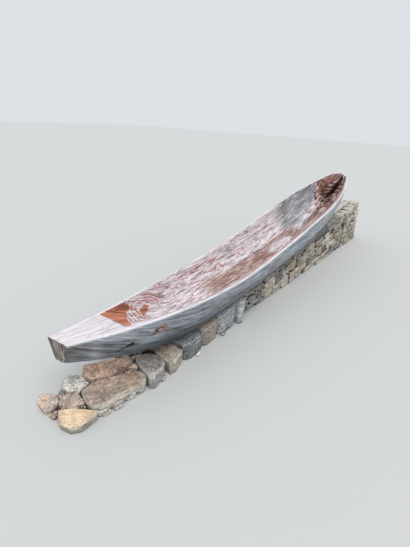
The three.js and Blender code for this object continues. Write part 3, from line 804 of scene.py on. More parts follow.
def makeTroughWood():
    # the adzed hollow: faded pinkish grey with red ochre paint left in the grooves of the grain
    material, add = newMaterial("adzedWoodWithOchrePaint")
    streaks = grainStreaks(add, 2.8, 84, 7, 0.7, 0.0, 0.15)
    dashes = grainStreaks(add, 5.5, 84, 4, 0.66, 44.0, 0.2)
    fine = grainStreaks(add, 22, 320, 4, 0.72, 5.5)
    patches = grainStreaks(add, 3.2, 11, 5, 0.62, 9.2)
    flame = grainStreaks(add, 0.9, 17, 4, 0.58, 15.8, 0.25)
    fields = ("rings", "ringStrength", "paint", "patch", "rot", "grey", "brown")
    rings, ringStrength, paint, patch, rot, grey, brown = (
        add("number", attribute_name=key) for key in fields)
    mixed = add("multiplyAdd", dashes, 0.7, add("multiplyAdd", fine, 0.3, streaks))
    spread = add("range", mixed, 0.76, 1.22)
    colour = add("ramp", spread, stops=trough["faded"])
    for key, reach, stops in trough["states"]:
        noise = flame if key == "brown" else patches
        ragged = add("multiplyAdd", noise, reach, add("number", attribute_name=key))
        share = add("smoothRange", ragged, 0.5 * reach + 0.1, 0.5 * reach + 0.75)
        colour = add("mix", share, colour, add("ramp", spread, stops=stops))
    colour = add("scale", colour, add("range", flame, 0.36, 0.62, 0.86, 1.08))

    # growth rings where the scoop cuts across them, drawn coarser than real ones, at 25 mm, and
    # flame-shaped grain lines
    phase = add("multiply", rings, 2 * np.pi / trough["ringStep"])
    wave = add("sine", add("multiplyAdd", dashes, 5.0, phase))
    strength = add("multiply", ringStrength, add("range", dashes, 0.42, 0.56, 0.3, 1.05))
    ringWave = add("multiply", wave, strength)
    grooved = add("multiply", add("smoothRange", ringWave, -0.3, 0.7, 0, 0.85),
                  add("range", strength, 0.12, 0.6))
    ridge = add("multiply", add("smoothRange", ringWave, -0.42, -0.85),
                add("range", paint, 1.1, 0.5, 0, 0.8))
    flames = grainLines(add, flame, 0.46, 0.013)
    for middle in trough["flameLines"]:
        flames = add("maximum", flames, grainLines(add, flame, middle, 0.011))
    for gain in (add("range", dashes, 0.62, 0.44, 0, 0.95), add("range", grey, 0, 1, 1, 0.2)):
        flames = add("multiply", flames, gain)

    # paint stays where the share of paint, the hollows of the grain and the rings add up. It is
    # brownest high on the far wall and pinkest where it has thinned on the floor
    left = add("add", paint, add("multiplyAdd", mixed, -0.9, 0.9))
    left = add("multiplyAdd", ringWave, 0.2, left)
    paintShare = add("smoothRange", left, 0.44, 0.7, 0, 0.92)
    high = add("range", add("yOf", add("grain")), 0.19, 0.02)
    thin = add("multiplyAdd", patches, 1.2, add("multiplyAdd", spread, 1.9, high))
    ochre = add("ramp", add("range", thin, 1.0, 3.1), stops=trough["ochre"])
    red = add("mix", add("range", paint, 0.7, 0.9), trough["grooveRed"], ochre)

    # thin strokes of crimson paint and white lines, both broken along the grain, a squared dark
    # patch high on the far wall and painted shade there towards the rot, pits, bleached specks, the
    # drying cracks and the rot
    marks, whites = (
        add("multiply", lineShare(add, name, fine), add("range", dashes, *broken))
        for name, broken in (("mark", (0.44, 0.62, 1.0, 0.4)), ("white", (0.4, 0.54, 0.2, 0.8))))
    patchAndShadeShare = add("multiply", patch, add("range", patches, 0.35, 0.5, 0.35, 0.8))
    speckle = grainStreaks(add, 13, 104, 3, 0.6, 4.4)
    bare = add("range", paint, 0.9, 0.5)
    pits = add("multiply", add("range", speckle, 0.57, 0.66, 0, 0.72), bare)
    specks = add("multiply", add("range", speckle, 0.43, 0.35, 0, 0.7), bare)
    specks = add("multiply", specks, add("range", brown, 0, 1, 1, 0.6))
    crack = lineShare(add, "crack", fine)
    crumbs = grainStreaks(add, 17, 36, 6, 0.72, 18.2, 0.4)
    rotShare = add("smoothRange", add("multiplyAdd", crumbs, 3.2, rot), 2.05, 2.5)
    rotTone = add("multiplyAdd", spread, 0.3, add("multiplyAdd", crumbs, -1.8, 1.24))
    for share, tone in ((grooved, trough["groove"]),
                        (flames, add("ramp", patches, stops=trough["line"])),
                        (paintShare, red), (ridge, trough["ridge"]),
                        (marks, add("ramp", spread, stops=trough["crimson"])),
                        (whites, trough["ridge"]), (patchAndShadeShare, trough["patch"]),
                        (pits, trough["pit"]), (specks, trough["ridge"]), (crack, trough["seam"]),
                        (rotShare, add("ramp", rotTone, stops=trough["rotten"]))):
        colour = add("mix", share, colour, tone)
    height = mixed
    for pattern, weight in ((fine, 0.3), (ringWave, -0.4), (pits, -0.8), (crack, -1.6),
                            (flames, -0.25), (paintShare, 0.1)):
        height = add("multiplyAdd", pattern, weight, height)
    return finishMaterial(material, add, colour, height, 0.9, 0.005, 0.85, 0.3)


endGrain = {
    "ramp": [(0.3, "#554e49"), (0.42, "#7f7771"), (0.54, "#9f968f"), (0.68, "#c0b8b0")],
    "line": "#2b2624", "rot": "#7a5750",
}


def makeEndGrain():
    # sawn across the log and weathered: brown grey, with dark drying cracks that run downwards
    material, add = newMaterial("weatheredEndGrain")
    streaks = add("noise", add("mapping", add("place"), (30, 150, 14)), 1, 6, 0.7, 0.3)
    lines = grainLines(add, streaks, 0.44, 0.03)
    colour = add("mix", add("multiply", lines, 0.6), add("ramp", streaks, stops=endGrain["ramp"]),
                 endGrain["line"])
    colour = add("mix", add("number", attribute_name="rot"), colour, endGrain["rot"])
    height = add("multiplyAdd", lines, -0.4, streaks)
    return finishMaterial(material, add, colour, height, 1.0, 0.006, 0.9, 0.25)


for material in (makeSilveredWood(), makeBleachedWood(), makeTroughWood(), makeEndGrain()):
    hullObject.data.materials.append(material)
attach(hullObject, "root")
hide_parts("hull")
print("wood finished")


# Stones. Each is a prism of split stone with a chopped face; w is the way that the face looks.
stoneTones = {
    "cream": ("#f3dcbd", "#a3a196"), "mist": ("#b9b9b9", "#a9abac"), "tan": ("#c4ae9d", "#bcb5ac"),
    "rose": ("#f2ccb4", "#cfb6a6"), "buff": ("#c9bcaa", "#b4aa9c"), "chalk": ("#cdd4db", "#c2cad2"),
    "grey": ("#9d9b98", "#8f9190"), "pale": ("#d6d2c8", "#c3c1b9"), "slate": ("#848a8e", "#7a8084"),
    "sand": ("#cdbd9f", "#bcae93"), "pink": ("#e8cdbb", "#c9b6a9"),
    "lichen": ("#fbf4e8", "#dcd6ca"), "white": ("#e6e4de", "#dad8d2"),
    "olive": ("#b9ad9c", "#a0968a"), "shadedDark": ("#6b6a6d", "#605f62"), "fawn": ("#dac0a9", "#bfae9e"),
    "beige": ("#bbae9b", "#a89d8e"), "ash": ("#9c9993", "#8b8883"), "bone": ("#d3cabd", "#c1b8aa"),
    "clay": ("#b4a092", "#a28b7e"), "shade": ("#7a797a", "#6c6b6c"),
    # the dusk kind has a top darker than its sides: painted shadow of the hull on the boulder under
    # it
    "straw": ("#bfb29a", "#ada089"), "hullShadowedTop": ("#9f948e", "#a9a8a7"),
    "crest": ("#dad0c9", "#c9bfb7"), "packing": ("#6f6458", "#554c42"),
}

# How each sort of stone is cut: points round it, rounding of its edge, chopped planes and their
# slope, roughness, growth and jaggedness of the outline, and depths below its top between which
# earth and painted shade darken it
stoneCuts = {
    "slab": {"count": 120, "chops": 5, "steep": 0.05, "rough": 2.4, "grow": 4, "jag": 4,
             "shadeAndDirtDepths": (45, 130)},
    "boulder": {"count": 84, "chops": 6, "steep": 0.3, "rough": 3.4, "grow": 4, "jag": 4,
                "shadeAndDirtDepths": (90, 300)},
    "footing": {"count": 30, "bevel": 5, "steep": 0.4, "rough": 1.6, "jag": 1.5, "shadeAndDirtDepths": (30, 90)},
    "rubble": {"count": 30, "bevel": 6, "steep": 0.45, "rough": 2, "jag": 2, "shadeAndDirtDepths": (16, 50)},
    "face": {"count": 40, "steep": 0.42, "rough": 2.4, "jag": 2.5},
    "chip": {"count": 12, "bevel": 3, "chops": 2, "steep": 0.5, "rough": 1.2, "jag": 1,
             "shadeAndDirtDepths": (8, 26)},
    "cap": {"count": 48, "bevel": 7, "steep": 0.06, "rough": 2.2, "jag": 3, "shadeAndDirtDepths": (30, 80)},
    "packing": {"count": 24, "bevel": 4, "chops": 2, "steep": 0.1, "rough": 1.5, "jag": 1,
                "shadeAndDirtDepths": (4, 40)},
    "rot": {"count": 24, "bevel": 5, "chops": 5, "steep": 0.7, "rough": 4.6, "jag": 4,
            "shadeAndDirtDepths": (60, 260), "taper": 0.006},
}


# Which of u, v and w becomes x, y and z for a stone lying flat or set in a face, and the turns
stonePlaces = {
    "plan": ((0, 1, 2), (1, 1, 1)), "front": ((0, 2, 1), (1, -1, 1)),
    "end": ((2, 0, 1), (1, 1, 1)), "back": ((0, 2, 1), (1, 1, 1)),
}


def splitStone(corners, low, high, place, seed, count, bevel, steep, rough, jag, shadeAndDirtDepths, chops=4,
               grow=0.0, taper=0.08):
    # the outline is walked at even steps and drawn in over a rounded edge while w goes from high
    # to low; what stands beyond each random plane n.p = d is pushed back to it along n
    draw = np.random.default_rng(int(seed))
    corners = np.asarray(corners, float)
    u, v = corners.T
    if (u * np.roll(v, -1) - v * np.roll(u, -1)).sum() < 0:
        corners = corners[::-1]
    closed = np.vstack([corners, corners[:1]])
    walked = np.concatenate([[0], np.cumsum(np.hypot(*np.diff(closed, axis=0).T))])
    at = np.arange(count) / count * walked[-1]
    outline = np.stack([np.interp(at, walked, closed[:, k]) for k in (0, 1)], axis=1)
    for _ in range(2):
        outline = (np.roll(outline, 1, 0) + 2 * outline + np.roll(outline, -1, 0)) / 4
    middle = outline.mean(axis=0)
    way = outline - middle
    reach = np.hypot(*way.T)
    way /= reach[:, None]
    shift = draw.uniform(0, 900, 3)
    edgePlace = np.stack([*outline.T, 0 * reach], axis=-1)
    reach = reach + grow + jag * layeredNoise(edgePlace + shift, 38, int(seed) % 911, 3)
    thick = high - low
    bevel = min(bevel, thick * 0.45, reach.min() * 0.6)
    bend = np.linspace(0, np.pi / 2, 4)
    shares = (0.2, 0.4, 0.6, 0.76, 0.88, 0.95) if count > 60 else (0.35, 0.68, 0.9)
    falls = (0.08, 0.2, 0.35, 0.52, 0.7, 0.86, 1) if count > 60 else (0.1, 0.25, 0.5, 1)
    rows = [(share, bevel, high) for share in shares]
    rows += [(1, bevel * (1 - np.sin(b)), high - bevel * (1 - np.cos(b))) for b in bend]
    rows += [(1, taper * thick * t, high - bevel - (thick - bevel - 3) * t) for t in falls]
    rows += [(0.8, 1.2 * taper * thick, low)]
    share, inset, w = np.array(rows).T
    out = np.maximum(reach[None] - inset[:, None], 1) * share[:, None]
    grid = np.empty((len(rows), count, 3))
    grid[..., :2] = middle + out[..., None] * way
    grid[..., 2] = w[:, None]
    points = np.concatenate([grid.reshape(-1, 3), [[*middle, high], [*middle, low]]])
    spread = np.array([*np.abs(outline - middle).max(axis=0), thick])
    for k in range(chops):
        turn = draw.uniform(0, 2 * np.pi)
        slope = draw.uniform(0.25, 1) * steep if k % 2 == 0 else draw.uniform(0.8, 1.6)
        n = np.array([np.cos(turn) * slope, np.sin(turn) * slope, 1.0])
        n /= np.linalg.norm(n)
        ahead = points @ n
        bite = draw.uniform(0.35, 1.0) * (0.5 * slope * spread[:2].min() if k % 2 == 0
                                          else 0.14 * spread[:2].min())
        over = np.maximum(0, ahead - (ahead.max() - bite))
        points = points - over[:, None] * n
    rowCount, last = len(rows), len(rows) * count
    quads = loopQuads(rowCount, count)
    ring = np.arange(count)
    following = (ring + 1) % count
    foot = (rowCount - 1) * count
    triangles = np.concatenate([
        np.stack([np.full(count, last), ring, following], axis=1),
        np.stack([np.full(count, last + 1), foot + following, foot + ring], axis=1)])
    outward = vertexNormals(points, quads)
    outward[last:] = [[0, 0, 1], [0, 0, -1]]
    lump = layeredNoise(points + shift, (55, 55, 38), int(seed) % 997, 4)
    leaves = layeredNoise(points + shift, (70, 70, 9), int(seed) % 983, 2)
    sideways = 1 - np.abs(outward[:, 2])
    points = points + outward * (rough * (1.3 * lump + 0.8 * sideways * leaves))[:, None]
    # crevice: darker in the hollows of the lumps and further below the top, earth and painted shade
    # in the joints
    crevice = 0.5 * smooth(0.1, -0.6, lump) + smooth(*shadeAndDirtDepths, high - points[:, 2])
    axes, turned = stonePlaces[place]
    if place == "back":
        quads, triangles = quads[:, ::-1], triangles[:, ::-1]
    return points[:, axes] * turned, quads, triangles, clamp01(crevice)


def joinStones(name, stones):
    # many stones as one mesh; each is (points, quads, triangles, crevice, top colour, side colour)
    points, quads, triangles, start = [], [], [], 0
    fields = {"topTone": [], "sideTone": [], "crevice": []}
    for stonePoints, stoneQuads, stoneTriangles, crevice, top, side in stones:
        points.append(stonePoints)
        quads.append(stoneQuads + start)
        triangles.append(stoneTriangles + start)
        fields["topTone"].append(np.tile(top, (len(stonePoints), 1)))
        fields["sideTone"].append(np.tile(side, (len(stonePoints), 1)))
        fields["crevice"].append(crevice)
        start += len(stonePoints)
    fields = {key: np.concatenate(value) for key, value in fields.items()}
    return buildMesh(name, np.concatenate(points), np.concatenate(quads),
                     np.concatenate(triangles), fields)


def toned(kind, seed, spread=0.13):
    # the kind's two colours, each a little lighter or darker from stone to stone
    top, side = (np.array(srgb(code)) for code in stoneTones[kind])
    gain = 1 + spread * vary(seed)
    warm = 1 + 0.05 * vary(seed + 3) * np.array([1, 0, -1])
    return (*(top[:3] * gain * warm), 1), (*(side[:3] * gain * warm), 1)


# Rotted heartwood: crumbling blocks of fibre either side of the split, their broken ends facing
# the trough. They are cut with the stones' own function, in a square section that is then fitted
# to the hull's, and paler or darker from block to block.
rotBlocks = {
    "across": 10, "tall": 6, "span": 150, "jitter": 0.34, "seed": 17, "face": 3590, "lean": 225,
    "ragged": 17, "gapLow": 50, "gapHigh": 12, "rimGap": 4, "crown": 40, "bleached": "#cdb3ab",
    "tones": ["#96605c", "#ab8678", "#6b4644", "#e2d6c9", "#d2b2ad", "#9a9682", "#bda48c",
              "#b98b81"],
    # crevice is the colour of the painted shade in the split and in the gaps between blocks
    "shares": [0.2, 0.19, 0.12, 0.1, 0.14, 0.1, 0.08, 0.07], "crevice": "#150e0d",
    "ramp": [(0.32, "#1d1413"), (0.42, "#5a3431"), (0.52, "#8d5e53"), (0.6, "#a08a68"),
             (0.7, "#d8c7ac")],
}


def fitToHull(points, isFar):
    # u from 0 to the square's span becomes the way from the split to the hull's side, v the way
    # from floor to rim, at the section of the hull where the point is; near side u is negative
    x, u, v = points.T
    rim = rimHeight(x) - rotBlocks["rimGap"]
    floor = keelHeight(x) + hull["floorThickness"]
    share, side = clamp01(v / rotBlocks["span"]), 1 if isFar else -1
    fromLine = clamp01(side * u / rotBlocks["span"])
    room = (halfWidth(x) - 12) * (1 - 0.96 * (1 - share) ** 2.3) ** 0.5
    gap = rotBlocks["gapLow"] + (rotBlocks["gapHigh"] - rotBlocks["gapLow"]) * smooth(3600, 3900, x)
    inner = np.minimum(side * splitLine(x) + gap / 2, room - 4)
    crown = rotBlocks["crown"] * (1 - fromLine ** 4) * smooth(3800, 3990, x)
    crown = crown * (0.35 + 0.65 * smooth(0, 0.3, fromLine)) * (1.0 if isFar else 0.35)
    z = floor + (rim + crown - floor) * share + 4 * layeredNoise(points, 26, 83) * share
    y = side * (inner + fromLine * (room - inner))
    # painted shade: blocks within 26 mm of the split darken, as if deep in its shadow
    shadedDark = smooth(26, 4, fromLine * (room - inner))
    return np.stack([x + hull["start"], y, z], axis=-1), shadedDark


def makeRotBlocks():
    # a square of blocks on a grid moved at random, each a prism from its broken face to the tip
    draw = np.random.default_rng(rotBlocks["seed"])
    wide, high, span = rotBlocks["across"], rotBlocks["tall"], rotBlocks["span"]
    tones = np.array([srgb(code) for code in rotBlocks["tones"]])
    i, j = np.meshgrid(np.arange(wide + 1), np.arange(high + 1), indexing="ij")
    spread = rotBlocks["jitter"] * (2 * i % wide > 0) * (j % high > 0)
    cornerU = -span + 2 * span * (i + spread * draw.uniform(-1, 1, i.shape)) / wide
    cornerV = span * (j + spread * draw.uniform(-1, 1, i.shape)) / high
    blocks = []
    for a in range(wide):
        for b in range(high):
            ring = [(a, b), (a + 1, b), (a + 1, b + 1), (a, b + 1)]
            outline = np.array([(cornerU[c], cornerV[c]) for c in ring])
            middle = outline.mean(axis=0)
            outline = middle + (outline - middle) * draw.uniform(0.95, 1.02)
            share = middle[1] / span
            face = rotBlocks["face"] + rotBlocks["lean"] * share + 50 * (middle[0] / span) ** 2
            face += rotBlocks["ragged"] * draw.normal()
            stops = [face, hull["length"] - draw.uniform(6, 40)]
            if b == high - 1:
                cuts = np.sort(draw.uniform(0.12, 0.88, draw.integers(1, 4)))
                stops[1:1] = face + (stops[1] - face) * cuts
            for part, (front, back) in enumerate(zip(stops[:-1], stops[1:])):
                # the top of each length stands at a height of its own
                height = 1 - (part > 0) * draw.uniform(0, 0.11)
                points, quads, triangles, crevice = splitStone(
                    outline * (1, height), -back, -front, "plan",
                    1200 + a * 31 + b * 5 + part * 400, **stoneCuts["rot"])
                u, v, w = points.T
                fitted, shadedDark = fitToHull(np.stack([-w, u, v], axis=-1), middle[0] > 0)
                crevice = np.maximum(crevice, shadedDark)
                # the lengths of one block are nearly alike, and the topmost are bleached
                picked = tones[draw.choice(len(tones), p=rotBlocks["shares"])]
                tone = picked if part == 0 else 0.7 * tone + 0.3 * picked
                if part > 0:
                    tone = 0.6 * tone + 0.4 * np.array(srgb(rotBlocks["bleached"]))
                blocks.append((fitted, quads[:, ::-1], triangles[:, ::-1], crevice, tone, tone))
    return joinStones("rottedHeartwood", blocks)


def makeRottenWood():
    # crumbling heartwood: red brown to black, paler on fresh breaks, cracked across the fibres,
    # which are 7 mm thick and show 60 mm of their length
    material, add = newMaterial("rottedHeartwood")
    tone = add("tone", attribute_name="topTone")
    position = add("place")
    fibres = add("noise", add("mapping", position, (16, 140, 140)), 1, 5, 0.7)
    crumbs = add("noise", position, 78, 5, 0.7)
    lumps = add("range", add("noise", position, 34, 3, 0.7, 0.6), 0.36, 0.62, 0.15, 0.75)
    colour = add("mix", lumps, tone, add("ramp", crumbs, stops=rotBlocks["ramp"]))
    colour = add("scale", colour, add("range", fibres, 0.32, 0.66, 0.5, 1.3))
    # painted shade: the crevice share blackens the gaps behind the broken faces and the blocks
    # beside the split
    shadedDark = add("multiply", add("number", attribute_name="crevice"), 0.95)
    colour = add("mix", shadedDark, colour, rotBlocks["crevice"])
    height = add("multiplyAdd", crumbs, 0.8, fibres)
    return finishMaterial(material, add, colour, height, 1.0, 0.007, 0.92, 0.2)


rotObject = makeRotBlocks()
rotObject.data.materials.append(makeRottenWood())
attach(rotObject, "root")
print("rotted block finished")


# dirt is the colour of earth and painted shade in the crevices
stoneColours = {"greyed": "#b3ada4", "arris": "#d3cdc2", "crust": "#dedcd2", "pit": "#5a4a40",
                "dirtAndShade": "#211c18"}


def makeStoneMaterial(name, stoneGrain, crustShare, leaves, stain, weathering):
    # field stone split by hand: sugary grain, rusty stains, thin leaves, pits and crusts of pale
    # lichen, greyed in places a hand wide; quite matt. Blotches are 45 mm, mottles 24 by 12 mm and
    # grains 10 mm across, all coarser than real ones
    material, add = newMaterial(name)
    top, side = (add("tone", attribute_name=key) for key in ("topTone", "sideTone"))
    upward = add("zOf", add("normal"))
    position = add("place")
    blotch = add("noise", position, 22, 6, 0.64)
    grain = add("noise", position, 100, 5, 0.78)
    bands = add("noise", add("mapping", position, (7, 7, leaves)), 1, 4, 0.5, 0.4)
    mottle = add("noise", add("mapping", position, (42, 84, 84)), 1, 5, 0.75, 0.3)
    topShare = add("smoothRange", add("multiplyAdd", blotch, 0.5, upward), 0.75, 1.05)
    greyed = add("range", add("noise", position, 8, 4, 0.65, 0.5), 0.46, 0.6, 0, weathering)
    colour = add("mix", greyed, add("mix", topShare, side, top), stoneColours["greyed"])
    gains = [(blotch, 0.33, 0.67, 0.8, 1.16), (bands, 0.36, 0.62, 0.84, 1.12),
             (mottle, 0.38, 0.62, 1 - 2.2 * stoneGrain, 1 + 1.7 * stoneGrain),
             (grain, 0.4, 0.6, 1 - 1.7 * stoneGrain, 1 + 1.5 * stoneGrain)]
    for gain in gains:
        colour = add("scale", colour, add("range", *gain))
    # arrises are rubbed pale: where the surface tilts between the top and the sides
    tilt = add("absolute", add("subtract", upward, 0.62))
    arris = add("range", add("multiplyAdd", mottle, 0.5, tilt), 0.46, 0.3, 0, 0.5)
    stained = add("range", add("noise", position, 13, 5, 0.7), 0.52, 0.68, 0, 0.5)
    crust = add("range", add("noise", position, 42, 7, 0.75, 0.8), 0.66 - crustShare,
                0.69 - crustShare, 0, 0.75)
    pits = add("range", grain, 0.39, 0.32, 0, 0.75)
    # earth and painted shade darken the crevices
    dirtAndShade = add("multiplyAdd", blotch, -0.5, add("number", attribute_name="crevice"))
    for share, tone in ((arris, stoneColours["arris"]), (stained, stain),
                        (crust, stoneColours["crust"]), (pits, stoneColours["pit"]),
                        (add("range", dirtAndShade, 0.0, 0.6, 0, 0.88), stoneColours["dirtAndShade"])):
        colour = add("mix", share, colour, tone)
    height = blotch
    for pattern, weight in ((grain, 0.4), (mottle, 0.5), (bands, 0.5), (pits, -0.5)):
        height = add("multiplyAdd", pattern, weight, height)
    return finishMaterial(material, add, colour, height, 1.0, 0.011, 0.93, 0.2)


sandstone = makeStoneMaterial("splitSandstone", 0.17, 0.02, 70, "#9a7a66", 0.6)
freshSandstone = makeStoneMaterial("freshCreamSandstone", 0.08, 0.0, 70, "#d3a888", 0.0)
limestone = makeStoneMaterial("weatheredLimestone", 0.2, 0.09, 40, "#8f8468", 0.2)
sandstoneKinds = ("rose", "tan", "sand", "pink", "fawn", "buff")

# The slabs at the low end and the boulders under the near half, by the part's own outlines.
# Columns: node, kind, slot, height of the top, bottom above the ground, bevel, corners (x, y)
groundStones = [
    ("slab_far_left", "pink", "stone_rose", -22, 4, 8,
     [(28, 126), (62, 104), (112, 112), (134, 152), (128, 214), (92, 238), (52, 208)]),
    ("slab_lichen", "lichen", "stone_pale", -16, 4, 8,
     [(196, 134), (252, 100), (298, 96), (314, 150), (308, 212), (272, 240), (214, 216),
      (186, 184)]),
    ("slab_small_rose", "fawn", "stone_rose", -24, 4, 7,
     [(104, 96), (120, 36), (176, 2), (196, 26), (214, 84), (180, 126), (146, 144)]),
    ("slab_cream", "cream", "stone_cream", -16, 4, 5,
     [(12, -28), (20, -92), (56, -122), (160, -124), (176, -108), (112, 14), (66, 56), (36, 18)]),
    ("slab_long_tan", "tan", "stone_tan", -10, 26, 15,
     [(180, -76), (206, -112), (326, -134), (484, -160), (530, -128), (534, -74), (402, 28),
      (318, 74), (232, 72), (190, -4)]),
    ("slab_long_rose", "rose", "stone_rose", 1, 4, 6,
     [(320, 86), (404, 36), (548, 8), (590, 44), (500, 140), (390, 232), (328, 172), (312, 114)]),
    ("slab_wedge", "rose", "stone_rose", -12, 4, 4, [(520, 0), (548, -40), (566, -12), (560, 0)]),
    # this boulder's darker top is painted shadow of the hull
    ("boulder_rounded", "hullShadowedTop", "stone_grey", -4, 4, 30,
     [(560, -60), (520, -158), (546, -180), (642, -158), (702, -128), (722, -74), (700, 0),
      (636, 44), (590, 10)]),
    ("boulder_tan", "buff", "stone_tan", -34, 4, 10,
     [(702, -166), (748, -170), (868, -132), (876, -20), (858, 14.7), (762, 14.7)]),
    ("boulder_grey", "slate", "stone_grey", -12, 4, 10,
     [(884, -140), (936, -158), (1060, -150), (1092, -128), (1094, 0), (1040, 14.7), (884, 14.7)]),
    ("boulder_olive", "olive", "stone_tan", -14, 4, 10,
     [(1102, -130), (1150, -146), (1262, -142), (1296, -120), (1298, 4), (1250, 14.7),
      (1102, 14.7)]),
    ("boulder_cream", "mist", "stone_pale", -10, 4, 9,
     [(1306, -128), (1360, -148), (1500, -144), (1540, -124), (1540, 6), (1490, 14.7),
      (1306, 14.7)]),
    ("upright_pale", "chalk", "stone_pale", -6, 4, 7,
     [(1549, -156), (1578, -176), (1612, -168), (1620, -60), (1610, 14.7), (1549, 14.7)]),
]


def finishStones(thing, nodes, kind):
    # the stone's material by its kind, its body and the nodes that it stands for
    thing.data.materials.append(freshSandstone if kind == "cream" else
                                sandstone if kind in sandstoneKinds else limestone)
    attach(thing, "root")
    if nodes:
        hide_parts(*nodes)


for row, (node, kind, slot, top, lift, bevel, corners) in enumerate(groundStones):
    middleX = np.mean([x for x, _ in corners])
    isSlab = node.startswith("slab")
    stone = splitStone(corners, groundAt(middleX) + lift, top, "plan", row + 11, bevel=bevel,
                       **stoneCuts["slab" if isSlab else "boulder"])
    finishStones(joinStones(node + "Stone", [(*stone, *toned(kind, row + 1, 0.03))]), [node], kind)
print("slabs and boulders finished")

# Foundation stones under the long slab's front edge and beside the boulders, and crumbs in the
# joints. Columns: x, y, length, width, turn in degrees, bottom, top, kind
looseStones = [
    (214, -92, 96, 58, -6, -68, -40, "lichen"), (312, -112, 104, 60, -10, -80, -40, "bone"),
    (402, -124, 90, 56, -10, -88, -42, "white"), (486, -128, 84, 50, 14, -96, -44, "lichen"),
    (566, -152, 70, 44, 24, -106, -72, "white"), (640, -158, 52, 36, 20, -112, -84, "pale"),
    (228, -122, 60, 26, -8, -74, -58, "pale"), (296, -140, 70, 24, -10, -80, -62, "pale"),
    (214, 90, 34, 26, 30, -60, -26, "rose"), (262, 84, 40, 22, 12, -62, -30, "tan"),
    (310, 82, 26, 20, 50, -64, -28, "pale"), (232, 96, 22, 16, 70, -58, -24, "lichen"),
    (316, 130, 24, 20, 10, -66, -28, "tan"), (322, 178, 30, 22, 60, -68, -32, "rose"),
    (420, 26, 40, 12, -28, -76, -26, "rose"), (462, 8, 46, 11, -30, -80, -24, "tan"),
    (500, -14, 38, 12, -32, -84, -26, "rose"), (536, -52, 24, 14, -50, -88, -30, "sand"),
    (186, 10, 24, 12, 60, -54, -30, "pale"), (172, -18, 28, 12, 60, -52, -34, "sand"),
    (134, 18, 40, 14, -40, -52, -32, "pale"), (100, 62, 26, 14, -20, -48, -30, "sand"),
    (44, 64, 44, 30, 30, -56, -34, "clay"), (62, 84, 34, 24, -20, -58, -38, "fawn"),
    (40, 92, 30, 22, 60, -56, -38, "bone"), (146, 178, 40, 30, 20, -64, -42, "clay"),
    (186, 190, 40, 26, -15, -68, -44, "tan"),
    (146, 148, 26, 18, 20, -50, -28, "tan"), (168, 160, 34, 24, 80, -54, -30, "grey"),
    (998, -166, 64, 24, 4, -148, -134, "lichen"), (1330, -152, 50, 26, -8, -181, -166, "ash"),
]
looseSeed = 41


def sixCorners(draw, x, y, long, wide, turn, isRagged=False):
    # corners a sixth of a turn apart on an oval, moved at random and turned about its middle
    angle = np.arange(6) * np.pi / 3 + draw.uniform(-0.3, 0.3, 6)
    reach = draw.uniform(0.85, 1.12, 6) / 2 if isRagged else 0.5
    local = np.stack([long * np.cos(angle) * reach, wide * np.sin(angle) * reach], axis=1)
    spin = np.array([[np.cos(turn), -np.sin(turn)], [np.sin(turn), np.cos(turn)]])
    return local @ spin.T + [x, y]


def makeLooseStones():
    # each a small split stone on an uneven hexagon
    stones = []
    draw = np.random.default_rng(looseSeed)
    for row, (x, y, long, wide, degrees, low, high, kind) in enumerate(looseStones):
        outline = sixCorners(draw, x, y, long, wide, np.radians(degrees), isRagged=True)
        stone = splitStone(outline, low, high, "plan", 900 + row, **stoneCuts["footing"])
        stones.append((*stone, *toned(kind, row + 50)))
    return joinStones("footingStonesAndCrumbs", stones)


finishStones(makeLooseStones(), [], "pale")

# Rubble on the bed behind the slabs, in rows between the slabs' back edges and the first cap stone
rubble = {"fromX": 424, "toX": 738, "stepX": 46, "fromY": 48, "toY": 200, "stepY": 37, "seed": 23,
          "kinds": ["ash", "bone", "clay", "beige", "shade", "fawn", "grey"], "shift": 8,
          "long": (46, 62), "wide": (32, 44), "tall": (24, 50), "clear": 24,
          "slabEdge": [(44, 590), (140, 500), (232, 390)]}


def makeRubble():
    # each an uneven hexagon on a grid whose points are moved at random, left out under the slabs
    draw = np.random.default_rng(rubble["seed"])
    stones = []
    for x in np.arange(rubble["fromX"], rubble["toX"], rubble["stepX"]):
        for y in np.arange(rubble["fromY"], rubble["toY"], rubble["stepY"]):
            atX, atY = np.array([x, y]) + draw.uniform(-rubble["shift"], rubble["shift"], 2)
            long, wide = draw.uniform(*rubble["long"]), draw.uniform(*rubble["wide"])
            turn, tall = draw.uniform(0, 2 * np.pi), draw.uniform(*rubble["tall"])
            pick = draw.integers(0, len(rubble["kinds"]))
            if atX < np.interp(atY, *np.array(rubble["slabEdge"]).T) + rubble["clear"]:
                continue
            outline = sixCorners(draw, atX, atY, long, wide, turn)
            seed, ground = int(x * 3 + y), groundAt(atX)
            stone = splitStone(outline, ground + 2, ground + tall, "plan", seed,
                               **stoneCuts["rubble"])
            stones.append((*stone, *toned(rubble["kinds"][pick], seed)))
    return joinStones("bedRubble", stones)


finishStones(makeRubble(), [], "pale")
print("loose stones finished")

# The wall, laid out by the same rules as in the part's source.
wall = {
    "length": 4900, "front": -110, "back": 225, "seat": 0.3, "joint": 7, "cap": 85, "course": 108,
    "coreStart": 755, "boulderEnd": 1626, "leastStone": 36, "gap": 4.5, "rise": 17, "lean": 15,
    # the caps behind the boulders and further on: length of a cap, of its pieces, and their face
    "lowCaps": (430, 210, 14), "highCaps": (380, 150, -110), "capDepth": 105,
    "capRows": (108, 215), "leastRow": 40, "slant": 14, "crestFrom": 4000,
    # the tall end: its face, depth, and the wall's sides there, and how tall its stones are
    "end": (4893, 110, -8, 133), "endBed": 75,
}
noBed = -1e9
rubbleKinds = ["beige", "ash", "bone", "clay", "ash", "beige", "shade", "bone", "straw", "ash",
               "beige", "bone"]

